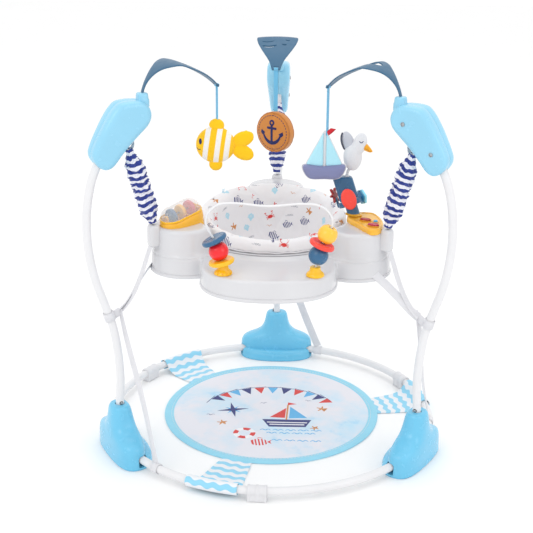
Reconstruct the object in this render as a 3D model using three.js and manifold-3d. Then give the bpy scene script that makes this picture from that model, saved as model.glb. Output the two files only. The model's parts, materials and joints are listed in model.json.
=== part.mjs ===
// Activity jumper: a three-legged tube frame with a sprung toy tray, a swivelling fabric seat and a play mat.
// Units are millimetres, +Z is up and the child faces -Y. The origin is the centre of the base ring, on the floor.
import * as THREE from "three";
import { mergeVertices } from "three/addons/utils/BufferGeometryUtils.js";
import Module from "manifold-3d";

const wasm = await Module();
wasm.setup();

// ---- Driving dimensions ----
const GAP = 0.3; // clearance between touching pieces
const DEG = Math.PI / 180;

const RING_RADIUS = 390; // base ring, to the tube's centre
const RING_HEIGHT = 22;
const TUBE_RADIUS = 9.5;
const TUBE_WALL = 1.4;
const TUBE_SIDES = 8;

const LEGS = [
  { side: "left", azimuth: 210, strapTurn: 21, buttonSide: 1, openings: waveSlots(-1) },
  { side: "right", azimuth: 330, strapTurn: 24, buttonSide: -1, openings: almondOpening() },
  { side: "rear", azimuth: 90, strapTurn: -17.4, buttonSide: 1, openings: waveSlots(1) },
];
const JOINER_AZIMUTHS = [30, 148, 268];

const LEG_ROOT_HEIGHT = 64; // where the leg tube starts, inside the boot
const BOOT_HEIGHT = 128;
const BUTTON_HEIGHT = 132; // snap button, just above the boot
const HOUSING_TOP = 828;
const SOCKET_TOP = 842;
const SOCKET_RADIUS = 317; // distance of the toy arm's socket from the centre
const SPRING_TOP = new THREE.Vector3(352, 0, 727);
const SPRING_BOTTOM = new THREE.Vector3(300, 0, 551);

const TRAY_BOTTOM = 433;
const TRAY_TOP = 480;
const TRAY_WALL = 3;
const COLLAR_RADIUS = 177; // inside of the collar round the seat
const COLLAR_TOP = 488;
const POD_TOP = 540; // raised platforms on the side and rear lobes
const POD_DISTANCE = 222;
const POD_RADIUS = 72;
const LOBES = [
  { azimuth: 209, distance: 217, radius: 81 },
  { azimuth: 331, distance: 217, radius: 81 },
  { azimuth: 90, distance: 217, radius: 81 },
];
const FRONT_LOBE = { centreY: -200, halfWidth: 148, depth: 122, power: 2.3 };

const SEAT_RADIUS = 174;
const SEAT_RIM_MIDDLE = 542; // the rim climbs from front to back
const SEAT_RIM_RISE = 20;
const FABRIC = 4;

const MAT_CENTRE_Y = 32;
const MAT_RADIUS = 268;
const MAT_THICKNESS = 3;
const TAB_AZIMUTHS = [16, 131.5, 253];

// ---- Materials ----
function plastic(color, roughness = 0.4) {
  return new THREE.MeshStandardMaterial({ color, roughness, metalness: 0 });
}
const MATERIALS = {
  tube: new THREE.MeshStandardMaterial({ color: 0xe6e6e8, roughness: 0.35, metalness: 0.2 }),
  steel: new THREE.MeshStandardMaterial({ color: 0xb0b4b8, roughness: 0.3, metalness: 0.9 }),
  joiner: plastic(0xd4d4d6, 0.5),
  boot: plastic(0x73cbf0, 0.35),
  housing: plastic(0x9bddf7, 0.35),
  arm: plastic(0x3c6987, 0.45),
  white: plastic(0xeeeef0, 0.35),
  yellow: plastic(0xf6c21c, 0.3),
  red: plastic(0xf01e28, 0.3),
  coral: plastic(0xf54b3c, 0.3),
  blue: plastic(0x3c7096, 0.3),
  amber: plastic(0xe8a82c, 0.3),
  clear: new THREE.MeshStandardMaterial({ color: 0xdde2e6, roughness: 0.1, transparent: true, opacity: 0.35 }),
  pink: plastic(0xd85a68, 0.3),
  darkRed: plastic(0x961e1e, 0.3),
  magenta: plastic(0xaf1e46, 0.3),
  stripe: plastic(0x5060a0, 0.9),
  webbing: plastic(0xe8e8ec, 0.9),
  seatFabric: plastic(0xefeeec, 0.9),
  matFabric: plastic(0xdfe6ee, 0.9),
  plushWhite: plastic(0xeceaf0, 0.95),
  plushYellow: plastic(0xf9c80e, 0.95),
  plushTan: plastic(0xc8823c, 0.95),
  plushBlue: plastic(0xa8c8e0, 0.95),
};

// ---- Solids: closed geometries go to manifold-3d and back for joins and cuts ----
function barePositions(geometry) {
  const source = geometry.index ? geometry.toNonIndexed() : geometry;
  const bare = new THREE.BufferGeometry();
  bare.setAttribute("position", source.getAttribute("position").clone());
  return mergeVertices(bare, 1e-4);
}

function solid(geometry) {
  const merged = barePositions(geometry);
  const vertProperties = new Float32Array(merged.attributes.position.array);
  const triVerts = new Uint32Array(merged.index.array);
  const made = new wasm.Manifold(new wasm.Mesh({ numProp: 3, vertProperties, triVerts }));
  if (made.volume() >= 0) return made;
  for (let i = 0; i < triVerts.length; i += 3) {
    [triVerts[i + 1], triVerts[i + 2]] = [triVerts[i + 2], triVerts[i + 1]];
  }
  return new wasm.Manifold(new wasm.Mesh({ numProp: 3, vertProperties, triVerts }));
}

function geometryOf(made) {
  const mesh = made.getMesh();
  const positions = new Float32Array(mesh.numVert * 3);
  for (let i = 0; i < mesh.numVert; i += 1) {
    for (let k = 0; k < 3; k += 1) positions[i * 3 + k] = mesh.vertProperties[i * mesh.numProp + k];
  }
  const geometry = new THREE.BufferGeometry();
  geometry.setAttribute("position", new THREE.BufferAttribute(positions, 3));
  geometry.setIndex(new THREE.BufferAttribute(new Uint32Array(mesh.triVerts), 1));
  return geometry;
}

function join(...geometries) {
  return geometries.map(solid).reduce((whole, piece) => whole.add(piece));
}

function cut(body, ...tools) {
  return tools.map(solid).reduce((whole, tool) => whole.subtract(tool), body);
}

// ---- Geometry helpers ----
function circlePoints(radius, sides, centreX = 0, centreY = 0) {
  return Array.from({ length: sides }, (_, i) => {
    const angle = (2 * Math.PI * (i + 0.5)) / sides;
    return new THREE.Vector2(centreX + radius * Math.cos(angle), centreY + radius * Math.sin(angle));
  });
}

function points2(list) {
  return list.map(([x, y]) => new THREE.Vector2(x, y));
}

// Half-ellipses with their own radii before and after the centre, squared off by the power.
function superellipse(before, after, across, power, count) {
  return Array.from({ length: count }, (_, i) => {
    const angle = (2 * Math.PI * i) / count;
    const c = Math.cos(angle);
    const s = Math.sin(angle);
    const along = c < 0 ? before : after;
    return new THREE.Vector2(
      along * Math.sign(c) * Math.abs(c) ** (2 / power),
      across * Math.sign(s) * Math.abs(s) ** (2 / power),
    );
  });
}

// An outline in the XY plane raised from z0 to z1.
function verticalPrism(outline, z0, z1, bevel = 0) {
  const settings = { depth: z1 - z0 - 2 * bevel, bevelEnabled: bevel > 0, steps: 1 };
  Object.assign(settings, { bevelThickness: bevel, bevelSize: bevel, bevelOffset: -bevel, bevelSegments: 1 });
  return new THREE.ExtrudeGeometry(new THREE.Shape(outline), settings).translate(0, 0, z0 + bevel);
}

// An outline in (x, z) carried across y, from y0 to y1.
function crossPrism(outline, y0, y1, bevel = 0) {
  return verticalPrism(outline, -y1, -y0, bevel).rotateX(Math.PI / 2);
}

// An outline in (y, z) carried along x, from x0 to x1.
function radialPrism(outline, x0, x1) {
  const turn = new THREE.Matrix4().makeBasis(
    new THREE.Vector3(0, 1, 0),
    new THREE.Vector3(0, 0, 1),
    new THREE.Vector3(1, 0, 0),
  );
  return verticalPrism(outline, x0, x1).applyMatrix4(turn);
}

// A round tube or rod along a curve; wall 0 makes it a rod.
function tubeAlong(curve, radius, wall, sides, steps) {
  const section = new THREE.Shape(circlePoints(radius, sides));
  if (wall > 0) section.holes.push(new THREE.Path(circlePoints(radius - wall, sides).reverse()));
  return new THREE.ExtrudeGeometry(section, { extrudePath: curve, steps, bevelEnabled: false });
}

// Rings of equal length joined in order, with flat ends; a closed path joins the last ring to the first.
function loft(rings, closedPath = false) {
  const count = rings[0].length;
  const positions = rings.flat().flatMap((p) => [p.x, p.y, p.z]);
  const index = [];
  const spans = closedPath ? rings.length : rings.length - 1;
  for (let i = 0; i < spans; i += 1) {
    const here = i * count;
    const there = ((i + 1) % rings.length) * count;
    for (let j = 0; j < count; j += 1) {
      const next = (j + 1) % count;
      index.push(here + j, here + next, there + next, here + j, there + next, there + j);
    }
  }
  if (!closedPath) {
    index.push(...capFaces(rings[0], 0, true));
    index.push(...capFaces(rings[rings.length - 1], (rings.length - 1) * count, false));
  }
  const geometry = new THREE.BufferGeometry();
  geometry.setAttribute("position", new THREE.Float32BufferAttribute(positions, 3));
  geometry.setIndex(index);
  return geometry;
}

function capFaces(ring, start, reversed) {
  const normal = new THREE.Vector3();
  ring.forEach((p, i) => {
    const q = ring[(i + 1) % ring.length];
    normal.x += (p.y - q.y) * (p.z + q.z);
    normal.y += (p.z - q.z) * (p.x + q.x);
    normal.z += (p.x - q.x) * (p.y + q.y);
  });
  normal.normalize();
  const right = new THREE.Vector3().subVectors(ring[1], ring[0]).normalize();
  const up = new THREE.Vector3().crossVectors(normal, right);
  const flat = ring.map((p) => new THREE.Vector2(p.dot(right), p.dot(up)));
  return THREE.ShapeUtils.triangulateShape(flat, []).flatMap(([a, b, c]) =>
    reversed ? [start + a, start + c, start + b] : [start + a, start + b, start + c],
  );
}

// A flat band of webbing along a path; each normal is the way its broad face looks.
function band(path, normals, width, thickness) {
  const rings = path.map((p, i) => {
    const before = path[Math.max(i - 1, 0)];
    const after = path[Math.min(i + 1, path.length - 1)];
    const along = new THREE.Vector3().subVectors(after, before).normalize();
    const across = new THREE.Vector3().crossVectors(along, normals[i]).normalize();
    const out = new THREE.Vector3().crossVectors(across, along).normalize();
    return [[-1, -1], [1, -1], [1, 1], [-1, 1]].map(([u, v]) =>
      p.clone().addScaledVector(across, (u * width) / 2).addScaledVector(out, (v * thickness) / 2),
    );
  });
  return loft(rings);
}

function ellipsoid(rx, ry, rz, centre, segments = 8) {
  return new THREE.SphereGeometry(1, segments, Math.round(segments * 0.66)).scale(rx, ry, rz).translate(...centre);
}

function turned(geometry, azimuth) {
  return geometry.rotateZ(azimuth * DEG);
}

function radialPoint(radius, azimuth, z) {
  return new THREE.Vector3(radius * Math.cos(azimuth * DEG), radius * Math.sin(azimuth * DEG), z);
}

const jumper = new THREE.Group();

function addPart(name, shape, material, parent = jumper) {
  const geometry = shape.isBufferGeometry ? geometryOf(solid(shape)) : geometryOf(shape);
  geometry.computeVertexNormals();
  const mesh = new THREE.Mesh(geometry, material);
  mesh.name = name;
  parent.add(mesh);
  return mesh;
}

// ---- Base ring ----
class RingArc extends THREE.Curve {
  constructor(from, to) {
    super();
    this.from = from;
    this.to = to;
  }
  getPoint(t) {
    return radialPoint(RING_RADIUS, this.from + (this.to - this.from) * t, RING_HEIGHT);
  }
}

function addBaseRing() {
  const endGap = 0.1; // degrees between two tube ends inside a joiner
  JOINER_AZIMUTHS.forEach((start, i) => {
    const end = i + 1 < JOINER_AZIMUTHS.length ? JOINER_AZIMUTHS[i + 1] : JOINER_AZIMUTHS[0] + 360;
    const arc = new RingArc(start + endGap, end - endGap);
    addPart(`base_tube_${i + 1}`, tubeAlong(arc, TUBE_RADIUS, TUBE_WALL, TUBE_SIDES, 14), MATERIALS.tube);
    addPart(`joiner_${i + 1}`, turned(joinerShape(), start), MATERIALS.joiner);
  });
}

// A plastic sleeve over two tube ends, with a flat foot.
function joinerShape() {
  const length = 43;
  const outerRadius = 14;
  const boreRadius = TUBE_RADIUS + 2.4;
  const outline = [new THREE.Vector2(RING_RADIUS - 12, 0), new THREE.Vector2(RING_RADIUS + 12, 0)];
  for (let i = 0; i <= 8; i += 1) {
    const angle = Math.PI * (-0.15 + 1.3 * (i / 8));
    outline.push(new THREE.Vector2(
      RING_RADIUS + outerRadius * Math.cos(angle),
      RING_HEIGHT + outerRadius * Math.sin(angle),
    ));
  }
  const bore = crossPrism(circlePoints(boreRadius, 12, RING_RADIUS, RING_HEIGHT), -length, length);
  return geometryOf(cut(solid(crossPrism(outline, -length / 2, length / 2)), bore));
}

// ---- Boots: local x is radial, y is along the ring ----
function bootShape() {
  const bootMiddle = 391;
  const toe = superellipse(56, 37, 100, 2.4, 20).map((p) => p.add(new THREE.Vector2(bootMiddle, 0)));
  const plan = superellipse(33, 36, 98, 2.6, 20).map((p) => p.add(new THREE.Vector2(bootMiddle, 0)));
  const front = points2([
    [-98, 0], [98, 0], [98, 50], [92, 57], [62, 66], [42, 76], [34, 90],
    [29, 118], [21, BOOT_HEIGHT], [-21, BOOT_HEIGHT], [-29, 118], [-34, 90],
    [-42, 76], [-62, 66], [-92, 57], [-98, 50],
  ]);
  const side = points2([
    [357, 0], [429, 0], [429, 45], [424, 100], [418, 120], [410, BOOT_HEIGHT],
    [380, BOOT_HEIGHT], [372, 120], [366, 90], [358, 60],
  ]);
  const body = solid(verticalPrism(plan, 0, BOOT_HEIGHT))
    .intersect(solid(radialPrism(front, 340, 440)))
    .intersect(solid(crossPrism(side, -110, 110)));
  const whole = body.add(solid(verticalPrism(toe, 0, 28, 4)));
  const legSocket = verticalPrism(circlePoints(TUBE_RADIUS + 1.2, 10, 395, 0), LEG_ROOT_HEIGHT - 2, BOOT_HEIGHT + 5);
  return cut(whole, channelRing(), legSocket);
}

// The slot that the ring tube lies in, closed round the whole ring so that each boot cuts its own stretch.
function channelRing() {
  const halfWidth = TUBE_RADIUS + 2.5;
  const top = RING_HEIGHT + TUBE_RADIUS + 0.8;
  const section = points2([
    [RING_RADIUS - halfWidth, 6], [RING_RADIUS + halfWidth, 6],
    [RING_RADIUS + halfWidth, top - 4], [RING_RADIUS + halfWidth - 4, top],
    [RING_RADIUS - halfWidth + 4, top], [RING_RADIUS - halfWidth, top - 4],
    [RING_RADIUS - halfWidth, 6],
  ]);
  return new THREE.LatheGeometry(section, 48).rotateX(Math.PI / 2);
}

// ---- Legs ----
const legPath = new THREE.CatmullRomCurve3([
  [395, LEG_ROOT_HEIGHT], [395, 100], [394, 140], [391, 190], [393, 245], [403, 318], [422, 382],
  [440, 440], [451, 500], [454, 555], [450, 610], [439, 660], [424, 696], [406, 728],
].map(([r, z]) => new THREE.Vector3(r, 0, z)));
const LEG_STEPS = 13;
const LEG_AT_BUTTON = 394.3; // the leg tube's distance from the centre at the button's height

function legShape(buttonSide) {
  const tube = solid(tubeAlong(legPath, TUBE_RADIUS, TUBE_WALL, TUBE_SIDES, LEG_STEPS));
  const hole = crossPrism(circlePoints(3.4, 8, LEG_AT_BUTTON, BUTTON_HEIGHT), 2, 14);
  return cut(tube, hole.scale(1, buttonSide, 1));
}

// A spring-loaded pin: a wide head inside the tube and a stud through its wall.
function snapButtonShape(buttonSide) {
  const profile = points2([[0, 1], [4.6, 1], [4.6, 3.4], [2.9, 3.4], [2.9, 11], [2, 12.2], [0, 12.2]]);
  return new THREE.LatheGeometry(profile, 10).scale(1, buttonSide, 1).translate(LEG_AT_BUTTON, 0, BUTTON_HEIGHT);
}

// ---- Top housings: two half shells round the leg's end ----
const housingOutline = points2([
  [325, HOUSING_TOP], [306, 812], [303, 795], [310, 777], [350, 742], [374, 716], [394, 690], [407, 684],
  [421, 691], [438, 711], [440, 722], [427, 750], [409, 784], [388, 815], [371, HOUSING_TOP],
]);

function housingHalf(sign) {
  const halfWidth = 29;
  const taperTop = 780;
  const centre = new THREE.Vector2(372, 768);
  const outer = crossPrism(housingOutline, -halfWidth, halfWidth, 7);
  const hollow = crossPrism(
    housingOutline.map((p) => p.clone().sub(centre).multiplyScalar(0.88).add(centre)),
    -(halfWidth - 3), halfWidth - 3, 5,
  );
  for (const part of [outer, hollow]) narrowDownwards(part, taperTop);
  const socket = crossPrism(points2([
    [SOCKET_RADIUS - 10, HOUSING_TOP - 18], [SOCKET_RADIUS + 10, HOUSING_TOP - 18],
    [SOCKET_RADIUS + 10, SOCKET_TOP], [SOCKET_RADIUS - 10, SOCKET_TOP],
  ]), -10, 10);
  const pocket = crossPrism(points2([
    [SOCKET_RADIUS - 1.9, SOCKET_TOP - 12.5], [SOCKET_RADIUS + 1.9, SOCKET_TOP - 12.5],
    [SOCKET_RADIUS + 1.9, SOCKET_TOP + 1], [SOCKET_RADIUS - 1.9, SOCKET_TOP + 1],
  ]), -5.4, 5.4);
  const legBore = tubeAlong(legPath, TUBE_RADIUS + 0.7, 0, TUBE_SIDES, LEG_STEPS);
  const shell = cut(solid(outer), hollow).add(solid(socket));
  const halfSpace = new THREE.BoxGeometry(400, 100, 400).translate(380, sign * (50 + GAP / 2), 760);
  return cut(shell, pocket, legBore).intersect(solid(halfSpace));
}

function narrowDownwards(geometry, taperTop) {
  const position = geometry.getAttribute("position");
  for (let i = 0; i < position.count; i += 1) {
    const below = Math.max(0, taperTop - position.getZ(i));
    position.setY(i, position.getY(i) * (1 - 0.0027 * below));
  }
}

// ---- Toy arms: thin leaf-shaped plates that arch inwards ----
const ARM_TIP = new THREE.Vector2(140, 845);
const ARM_STATIONS = [
  [317, SOCKET_TOP - 12, 10], [317, SOCKET_TOP, 10], [310, 862, 13], [298, 880, 26], [283, 894, 50],
  [265, 903, 82], [245, 906, 100], [222, 898, 94], [200, 888, 78], [179, 877, 58], [158, 862, 34],
  [ARM_TIP.x, ARM_TIP.y, 20],
];
const ARM_THICKNESS = 3;
const TIP_DIRECTION = new THREE.Vector2(140 - 158, 845 - 862).normalize();

function armShape(openings) {
  const rings = ARM_STATIONS.map(([x, z, width], i) => {
    const before = ARM_STATIONS[Math.max(i - 1, 0)];
    const after = ARM_STATIONS[Math.min(i + 1, ARM_STATIONS.length - 1)];
    const normal = new THREE.Vector2(-(after[1] - before[1]), after[0] - before[0]).normalize();
    const half = ARM_THICKNESS / 2;
    return [[-1, -1], [1, -1], [1, 1], [-1, 1]].map(([u, v]) => new THREE.Vector3(
      x + normal.x * half * v,
      (u * width) / 2,
      z + normal.y * half * v,
    ));
  });
  return cut(solid(loft(rings)), tipSlot(), ...openings);
}

function tipSlot() {
  const angle = Math.atan2(TIP_DIRECTION.y, TIP_DIRECTION.x);
  return new THREE.BoxGeometry(4.4, 13, 12)
    .rotateY(-angle)
    .translate(ARM_TIP.x - 6.2 * TIP_DIRECTION.x, 0, ARM_TIP.y - 6.2 * TIP_DIRECTION.y);
}

// Curved strokes like waves, cut straight down through the plate, the long ones on the given side.
function waveSlots(longSide) {
  const slots = [
    { x: 226, y: 22 * longSide, length: 27, width: 3 },
    { x: 208, y: 18 * longSide, length: 34, width: 6 },
    { x: 230, y: -24 * longSide, length: 10, width: 3 },
    { x: 212, y: -17 * longSide, length: 11, width: 5 },
  ];
  return slots.map(({ x, y, length, width }) => {
    const steps = [-0.5, -0.25, 0, 0.25, 0.5];
    const bow = length * 0.14;
    const inner = steps.map((t) => new THREE.Vector2(x - width / 2 - bow * (1 - 4 * t * t), y + t * length));
    const outer = steps.map((t) => new THREE.Vector2(x + width / 2 - bow * (1 - 4 * t * t), y + t * length));
    return verticalPrism([...inner, ...outer.reverse()], 860, 930);
  });
}

// A pointed oval opening along the plate.
function almondOpening() {
  const oval = superellipse(36, 33, 21, 1.6, 18).map((p) => p.add(new THREE.Vector2(235, 6)));
  return [verticalPrism(oval, 850, 930)];
}

// ---- Springs in fabric sleeves ----
class HookedHelix extends THREE.Curve {
  getPoint(t) {
    const length = SPRING_TOP.distanceTo(SPRING_BOTTOM);
    const ends = 2.5;
    const coilStart = 24;
    const coilEnd = length - 24;
    const z = ends + (length - 2 * ends) * t;
    const inside = Math.min(Math.max((z - coilStart) / (coilEnd - coilStart), 0), 1);
    const opening = Math.min(1, Math.min(inside, 1 - inside) * 8);
    const angle = inside * 6 * 2 * Math.PI;
    return new THREE.Vector3(12 * opening * Math.cos(angle), 12 * opening * Math.sin(angle), z);
  }
}

function addSuspension(parent, side) {
  const lean = Math.atan2(SPRING_TOP.x - SPRING_BOTTOM.x, SPRING_TOP.z - SPRING_BOTTOM.z);
  const length = SPRING_TOP.distanceTo(SPRING_BOTTOM);
  const group = new THREE.Group();
  group.position.copy(SPRING_BOTTOM);
  group.rotation.y = lean;
  parent.add(group);
  addPart(`spring_${side}`, tubeAlong(new HookedHelix(), 1.3, 0, 4, 50), MATERIALS.steel, group);
  const outer = [[8, 1.5], [17, 12], [20.5, 28], [20.5, length - 32], [15, length - 14], [13, length - 2]];
  const inner = outer.map(([r, z]) => [r - 1.3, z]).reverse();
  const sleeve = new THREE.LatheGeometry(points2([...outer, ...inner, outer[0]]), 12).rotateX(Math.PI / 2);
  addPart(`spring_sleeve_${side}`, sleeve, MATERIALS.stripe, group);
}

// ---- Webbing straps: leg loop, band up to the tray and band down to the base ring ----
function strapShape(turn) {
  const width = 22;
  const thickness = 1.8;
  const loopRadius = TUBE_RADIUS + 2.6;
  const legLoop = ringBand(loopRadius, thickness, 20)
    .rotateY(16 * DEG)
    .translate(411.5, 0, 348);
  const bridge = new THREE.BoxGeometry(15.5, 3, 18).translate(391, 0, 350);
  const upper = [[386, 356], [372, 364], [352, 392], [331, 436], [317, 474], [307, 498.5]]
    .map(([x, z]) => new THREE.Vector3(x, 0, z));
  const upperBand = band(upper, upper.map(() => new THREE.Vector3(1, 0, 0)), width, thickness);
  const count = 11;
  const lower = [];
  const normals = [];
  for (let i = 0; i <= count; i += 1) {
    const t = i / count;
    const azimuth = turn * t ** 1.1;
    const belly = -10 * Math.sin(Math.PI * t);
    lower.push(radialPoint(384 + 4 * t + belly, azimuth, 360 - (360 - RING_HEIGHT - loopRadius - 3.6) * t));
    normals.push(radialPoint(1, azimuth, 0));
  }
  const lowerBand = band(lower, normals, width, thickness);
  const ringLoop = turned(ringBand(loopRadius, thickness, width).rotateX(Math.PI / 2).translate(RING_RADIUS, 0, RING_HEIGHT), turn);
  return join(legLoop, bridge, upperBand, lowerBand, ringLoop);
}

function ringBand(innerRadius, thickness, width) {
  const section = points2([
    [innerRadius, -width / 2], [innerRadius + thickness, -width / 2],
    [innerRadius + thickness, width / 2], [innerRadius, width / 2], [innerRadius, -width / 2],
  ]);
  return new THREE.LatheGeometry(section, 12).rotateX(Math.PI / 2);
}

// ---- Play mat ----
function matShape() {
  const disc = verticalPrism(circlePoints(MAT_RADIUS, 40, 0, MAT_CENTRE_Y), 0, MAT_THICKNESS);
  return join(disc, ...TAB_AZIMUTHS.map(matTab));
}

// A tab runs from the mat's edge up over the ring tube and hooks under it.
function matTab(azimuth) {
  const halfTurn = 8.5;
  const across = MAT_CENTRE_Y * Math.cos(azimuth * DEG);
  const edge = MAT_CENTRE_Y * Math.sin(azimuth * DEG) + Math.sqrt(MAT_RADIUS ** 2 - across ** 2);
  const centreline = [[edge - 25, 1.5], [345, 1.5], [366, 12]];
  for (let i = 0; i <= 6; i += 1) {
    const angle = (160 - 45 * i) * DEG;
    centreline.push([RING_RADIUS + 13.4 * Math.cos(angle), RING_HEIGHT + 13.4 * Math.sin(angle)]);
  }
  const half = 1;
  const outer = [];
  const inner = [];
  centreline.forEach(([x, z], i) => {
    const before = centreline[Math.max(i - 1, 0)];
    const after = centreline[Math.min(i + 1, centreline.length - 1)];
    const normal = new THREE.Vector2(-(after[1] - z) - (z - before[1]), after[0] - before[0]).normalize();
    outer.push([x + normal.x * half, z + normal.y * half]);
    inner.push([x - normal.x * half, z - normal.y * half]);
  });
  const section = [...outer, ...inner.reverse()];
  const stations = [-1, -0.5, 0, 0.5, 1];
  return loft(stations.map((s) => section.map(([r, z]) => radialPoint(r, azimuth + s * halfTurn, z))));
}

// ---- Tray ----
function circleReach(angle, { azimuth, distance, radius }) {
  const off = angle - azimuth * DEG;
  const miss = distance * Math.sin(off);
  if (Math.abs(miss) >= radius || Math.cos(off) < 0) return 0;
  return distance * Math.cos(off) + Math.sqrt(radius ** 2 - miss ** 2);
}

function frontReach(angle) {
  if (Math.sin(angle) >= 0) return 0;
  const { centreY, halfWidth, depth, power } = FRONT_LOBE;
  const outside = (r) => {
    const x = Math.abs(r * Math.cos(angle)) / halfWidth;
    const y = Math.abs(Math.min(0, r * Math.sin(angle) - centreY)) / depth;
    return x ** power + y ** power > 1;
  };
  let low = 0;
  let high = 400;
  for (let i = 0; i < 30; i += 1) {
    const middle = (low + high) / 2;
    if (outside(middle)) high = middle;
    else low = middle;
  }
  return low;
}

function smoothMax(a, b, softness) {
  const overlap = Math.max(softness - Math.abs(a - b), 0) / softness;
  return Math.max(a, b) + (overlap * overlap * softness) / 4;
}

// Distance from the centre to the tray's edge.
function trayReach(angle) {
  const middleRing = 207;
  const reaches = [...LOBES.map((lobe) => circleReach(angle, lobe)), frontReach(angle)];
  return reaches.reduce((reach, lobeReach) => smoothMax(reach, lobeReach, 10), middleRing);
}

// A closed ring whose profile follows the tray's edge: levels are [inner radius or null, offset from the edge, z].
function trayRing(levels, count = 42) {
  const rings = Array.from({ length: count }, (_, i) => {
    const angle = (2 * Math.PI * i) / count;
    const reach = trayReach(angle);
    return levels.map(([inner, offset, z]) => {
      const r = inner === null ? reach + offset : inner;
      return new THREE.Vector3(r * Math.cos(angle), r * Math.sin(angle), z);
    });
  });
  return loft(rings, true);
}

// A pod's plan: the lobe circle, cut off by a circle round the seat.
function podOutline(azimuth, inset) {
  const radius = POD_RADIUS - inset;
  const seatSide = 184 + inset;
  const x = (POD_DISTANCE ** 2 + seatSide ** 2 - radius ** 2) / (2 * POD_DISTANCE);
  const y = Math.sqrt(seatSide ** 2 - x ** 2);
  const outerStart = Math.atan2(-y, x - POD_DISTANCE);
  const innerStart = Math.atan2(y, x);
  const outline = [];
  const steps = 12;
  for (let i = 0; i < steps; i += 1) {
    const angle = outerStart - (2 * outerStart * i) / steps;
    outline.push(new THREE.Vector2(POD_DISTANCE + radius * Math.cos(angle), radius * Math.sin(angle)));
  }
  for (let i = 0; i < 4; i += 1) {
    const angle = innerStart - (2 * innerStart * i) / 4;
    outline.push(new THREE.Vector2(seatSide * Math.cos(angle), seatSide * Math.sin(angle)));
  }
  return outline.map((p) => p.rotateAround(new THREE.Vector2(), azimuth * DEG));
}

function trayTopShape() {
  const skirt = trayRing([
    [COLLAR_RADIUS, 0, TRAY_BOTTOM + 6], [COLLAR_RADIUS, 0, COLLAR_TOP], [COLLAR_RADIUS + 5, 0, COLLAR_TOP],
    [COLLAR_RADIUS + 8, 0, TRAY_TOP], [null, -7, TRAY_TOP], [null, -2, TRAY_TOP - 2], [null, 0, TRAY_TOP - 7],
    [null, 0, TRAY_BOTTOM + 7], [null, 3, TRAY_BOTTOM + 5], [null, 3, TRAY_BOTTOM],
    [COLLAR_RADIUS + 10, 0, TRAY_BOTTOM + 6],
  ]);
  const hollow = trayRing([
    [COLLAR_RADIUS + TRAY_WALL, 0, TRAY_BOTTOM - 5], [COLLAR_RADIUS + TRAY_WALL, 0, TRAY_TOP - TRAY_WALL],
    [null, -8, TRAY_TOP - TRAY_WALL], [null, -TRAY_WALL, TRAY_TOP - 8], [null, -TRAY_WALL, TRAY_BOTTOM - 5],
  ]);
  const pods = LOBES.map(({ azimuth }) => verticalPrism(podOutline(azimuth, 0), TRAY_TOP - 4, POD_TOP, 3));
  const podHollows = LOBES.map(({ azimuth }) =>
    verticalPrism(podOutline(azimuth, TRAY_WALL + 1), TRAY_TOP - 10, POD_TOP - TRAY_WALL));
  const lugs = LEGS.map(({ azimuth }) => turned(suspensionLug(), azimuth));
  return cut(join(skirt, ...pods, ...lugs), hollow, ...podHollows);
}

// The ear on each pod that a spring and a strap hook into.
function suspensionLug() {
  const outline = points2([
    [288, 500], [303, 500], [311, 506], [313, 520], [313, 538], [309, 545], [304, 549], [297, 549], [291, 543],
  ]);
  return crossPrism(outline, -13, 13, 2);
}

function trayBottomShape() {
  const collar = COLLAR_RADIUS + TRAY_WALL + GAP;
  const inset = -(TRAY_WALL + GAP + 0.2);
  return trayRing([
    [collar, 0, TRAY_BOTTOM + 2], [collar, 0, TRAY_BOTTOM + 5], [null, inset - 3, TRAY_BOTTOM + 5],
    [null, inset - 3, TRAY_BOTTOM + 12], [null, inset, TRAY_BOTTOM + 12], [null, inset, TRAY_BOTTOM + 2],
  ]);
}

// ---- Seat: a swivel ring with a fabric sling over it ----
function seatRingShape() {
  const profile = points2([
    [156, 488.4], [182, 488.4], [182, 491], [164, 491.5], [164, 507], [156, 507], [156, 488.4],
  ]);
  return new THREE.LatheGeometry(profile, 28).rotateX(Math.PI / 2);
}

function slingShape() {
  const count = 22;
  const rings = Array.from({ length: count }, (_, i) => {
    const angle = (2 * Math.PI * i) / count;
    const rim = SEAT_RIM_MIDDLE + SEAT_RIM_RISE * Math.sin(angle);
    const profile = [
      [SEAT_RADIUS - 2, 492], [SEAT_RADIUS, rim - 15], [SEAT_RADIUS - 8, rim - 3],
      [SEAT_RADIUS - 16, rim], [SEAT_RADIUS - 25, rim - 4], [142, rim - 20], [130, 440],
      [98, 385], [60, 356], [20, 350],
    ];
    const under = [
      [20, 350 - FABRIC], [62, 356 - FABRIC], [101, 381], [134, 439], [147, rim - 20],
      [SEAT_RADIUS - 19, rim - 8], [SEAT_RADIUS - 12, rim - 8],
      [SEAT_RADIUS - FABRIC - 1, rim - 17], [SEAT_RADIUS - FABRIC - 2, 492],
    ];
    return [...profile, ...under].map(([r, z]) => radialPoint(r, angle / DEG, z));
  });
  const pan = verticalPrism(circlePoints(21, 16), 350 - FABRIC, 350);
  const legHoles = [-60, 60].map((x) => verticalPrism(circlePoints(44, 16, x, -38), 320, 415));
  return cut(solid(loft(rings, true)).add(solid(pan)), ...legHoles);
}

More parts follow.
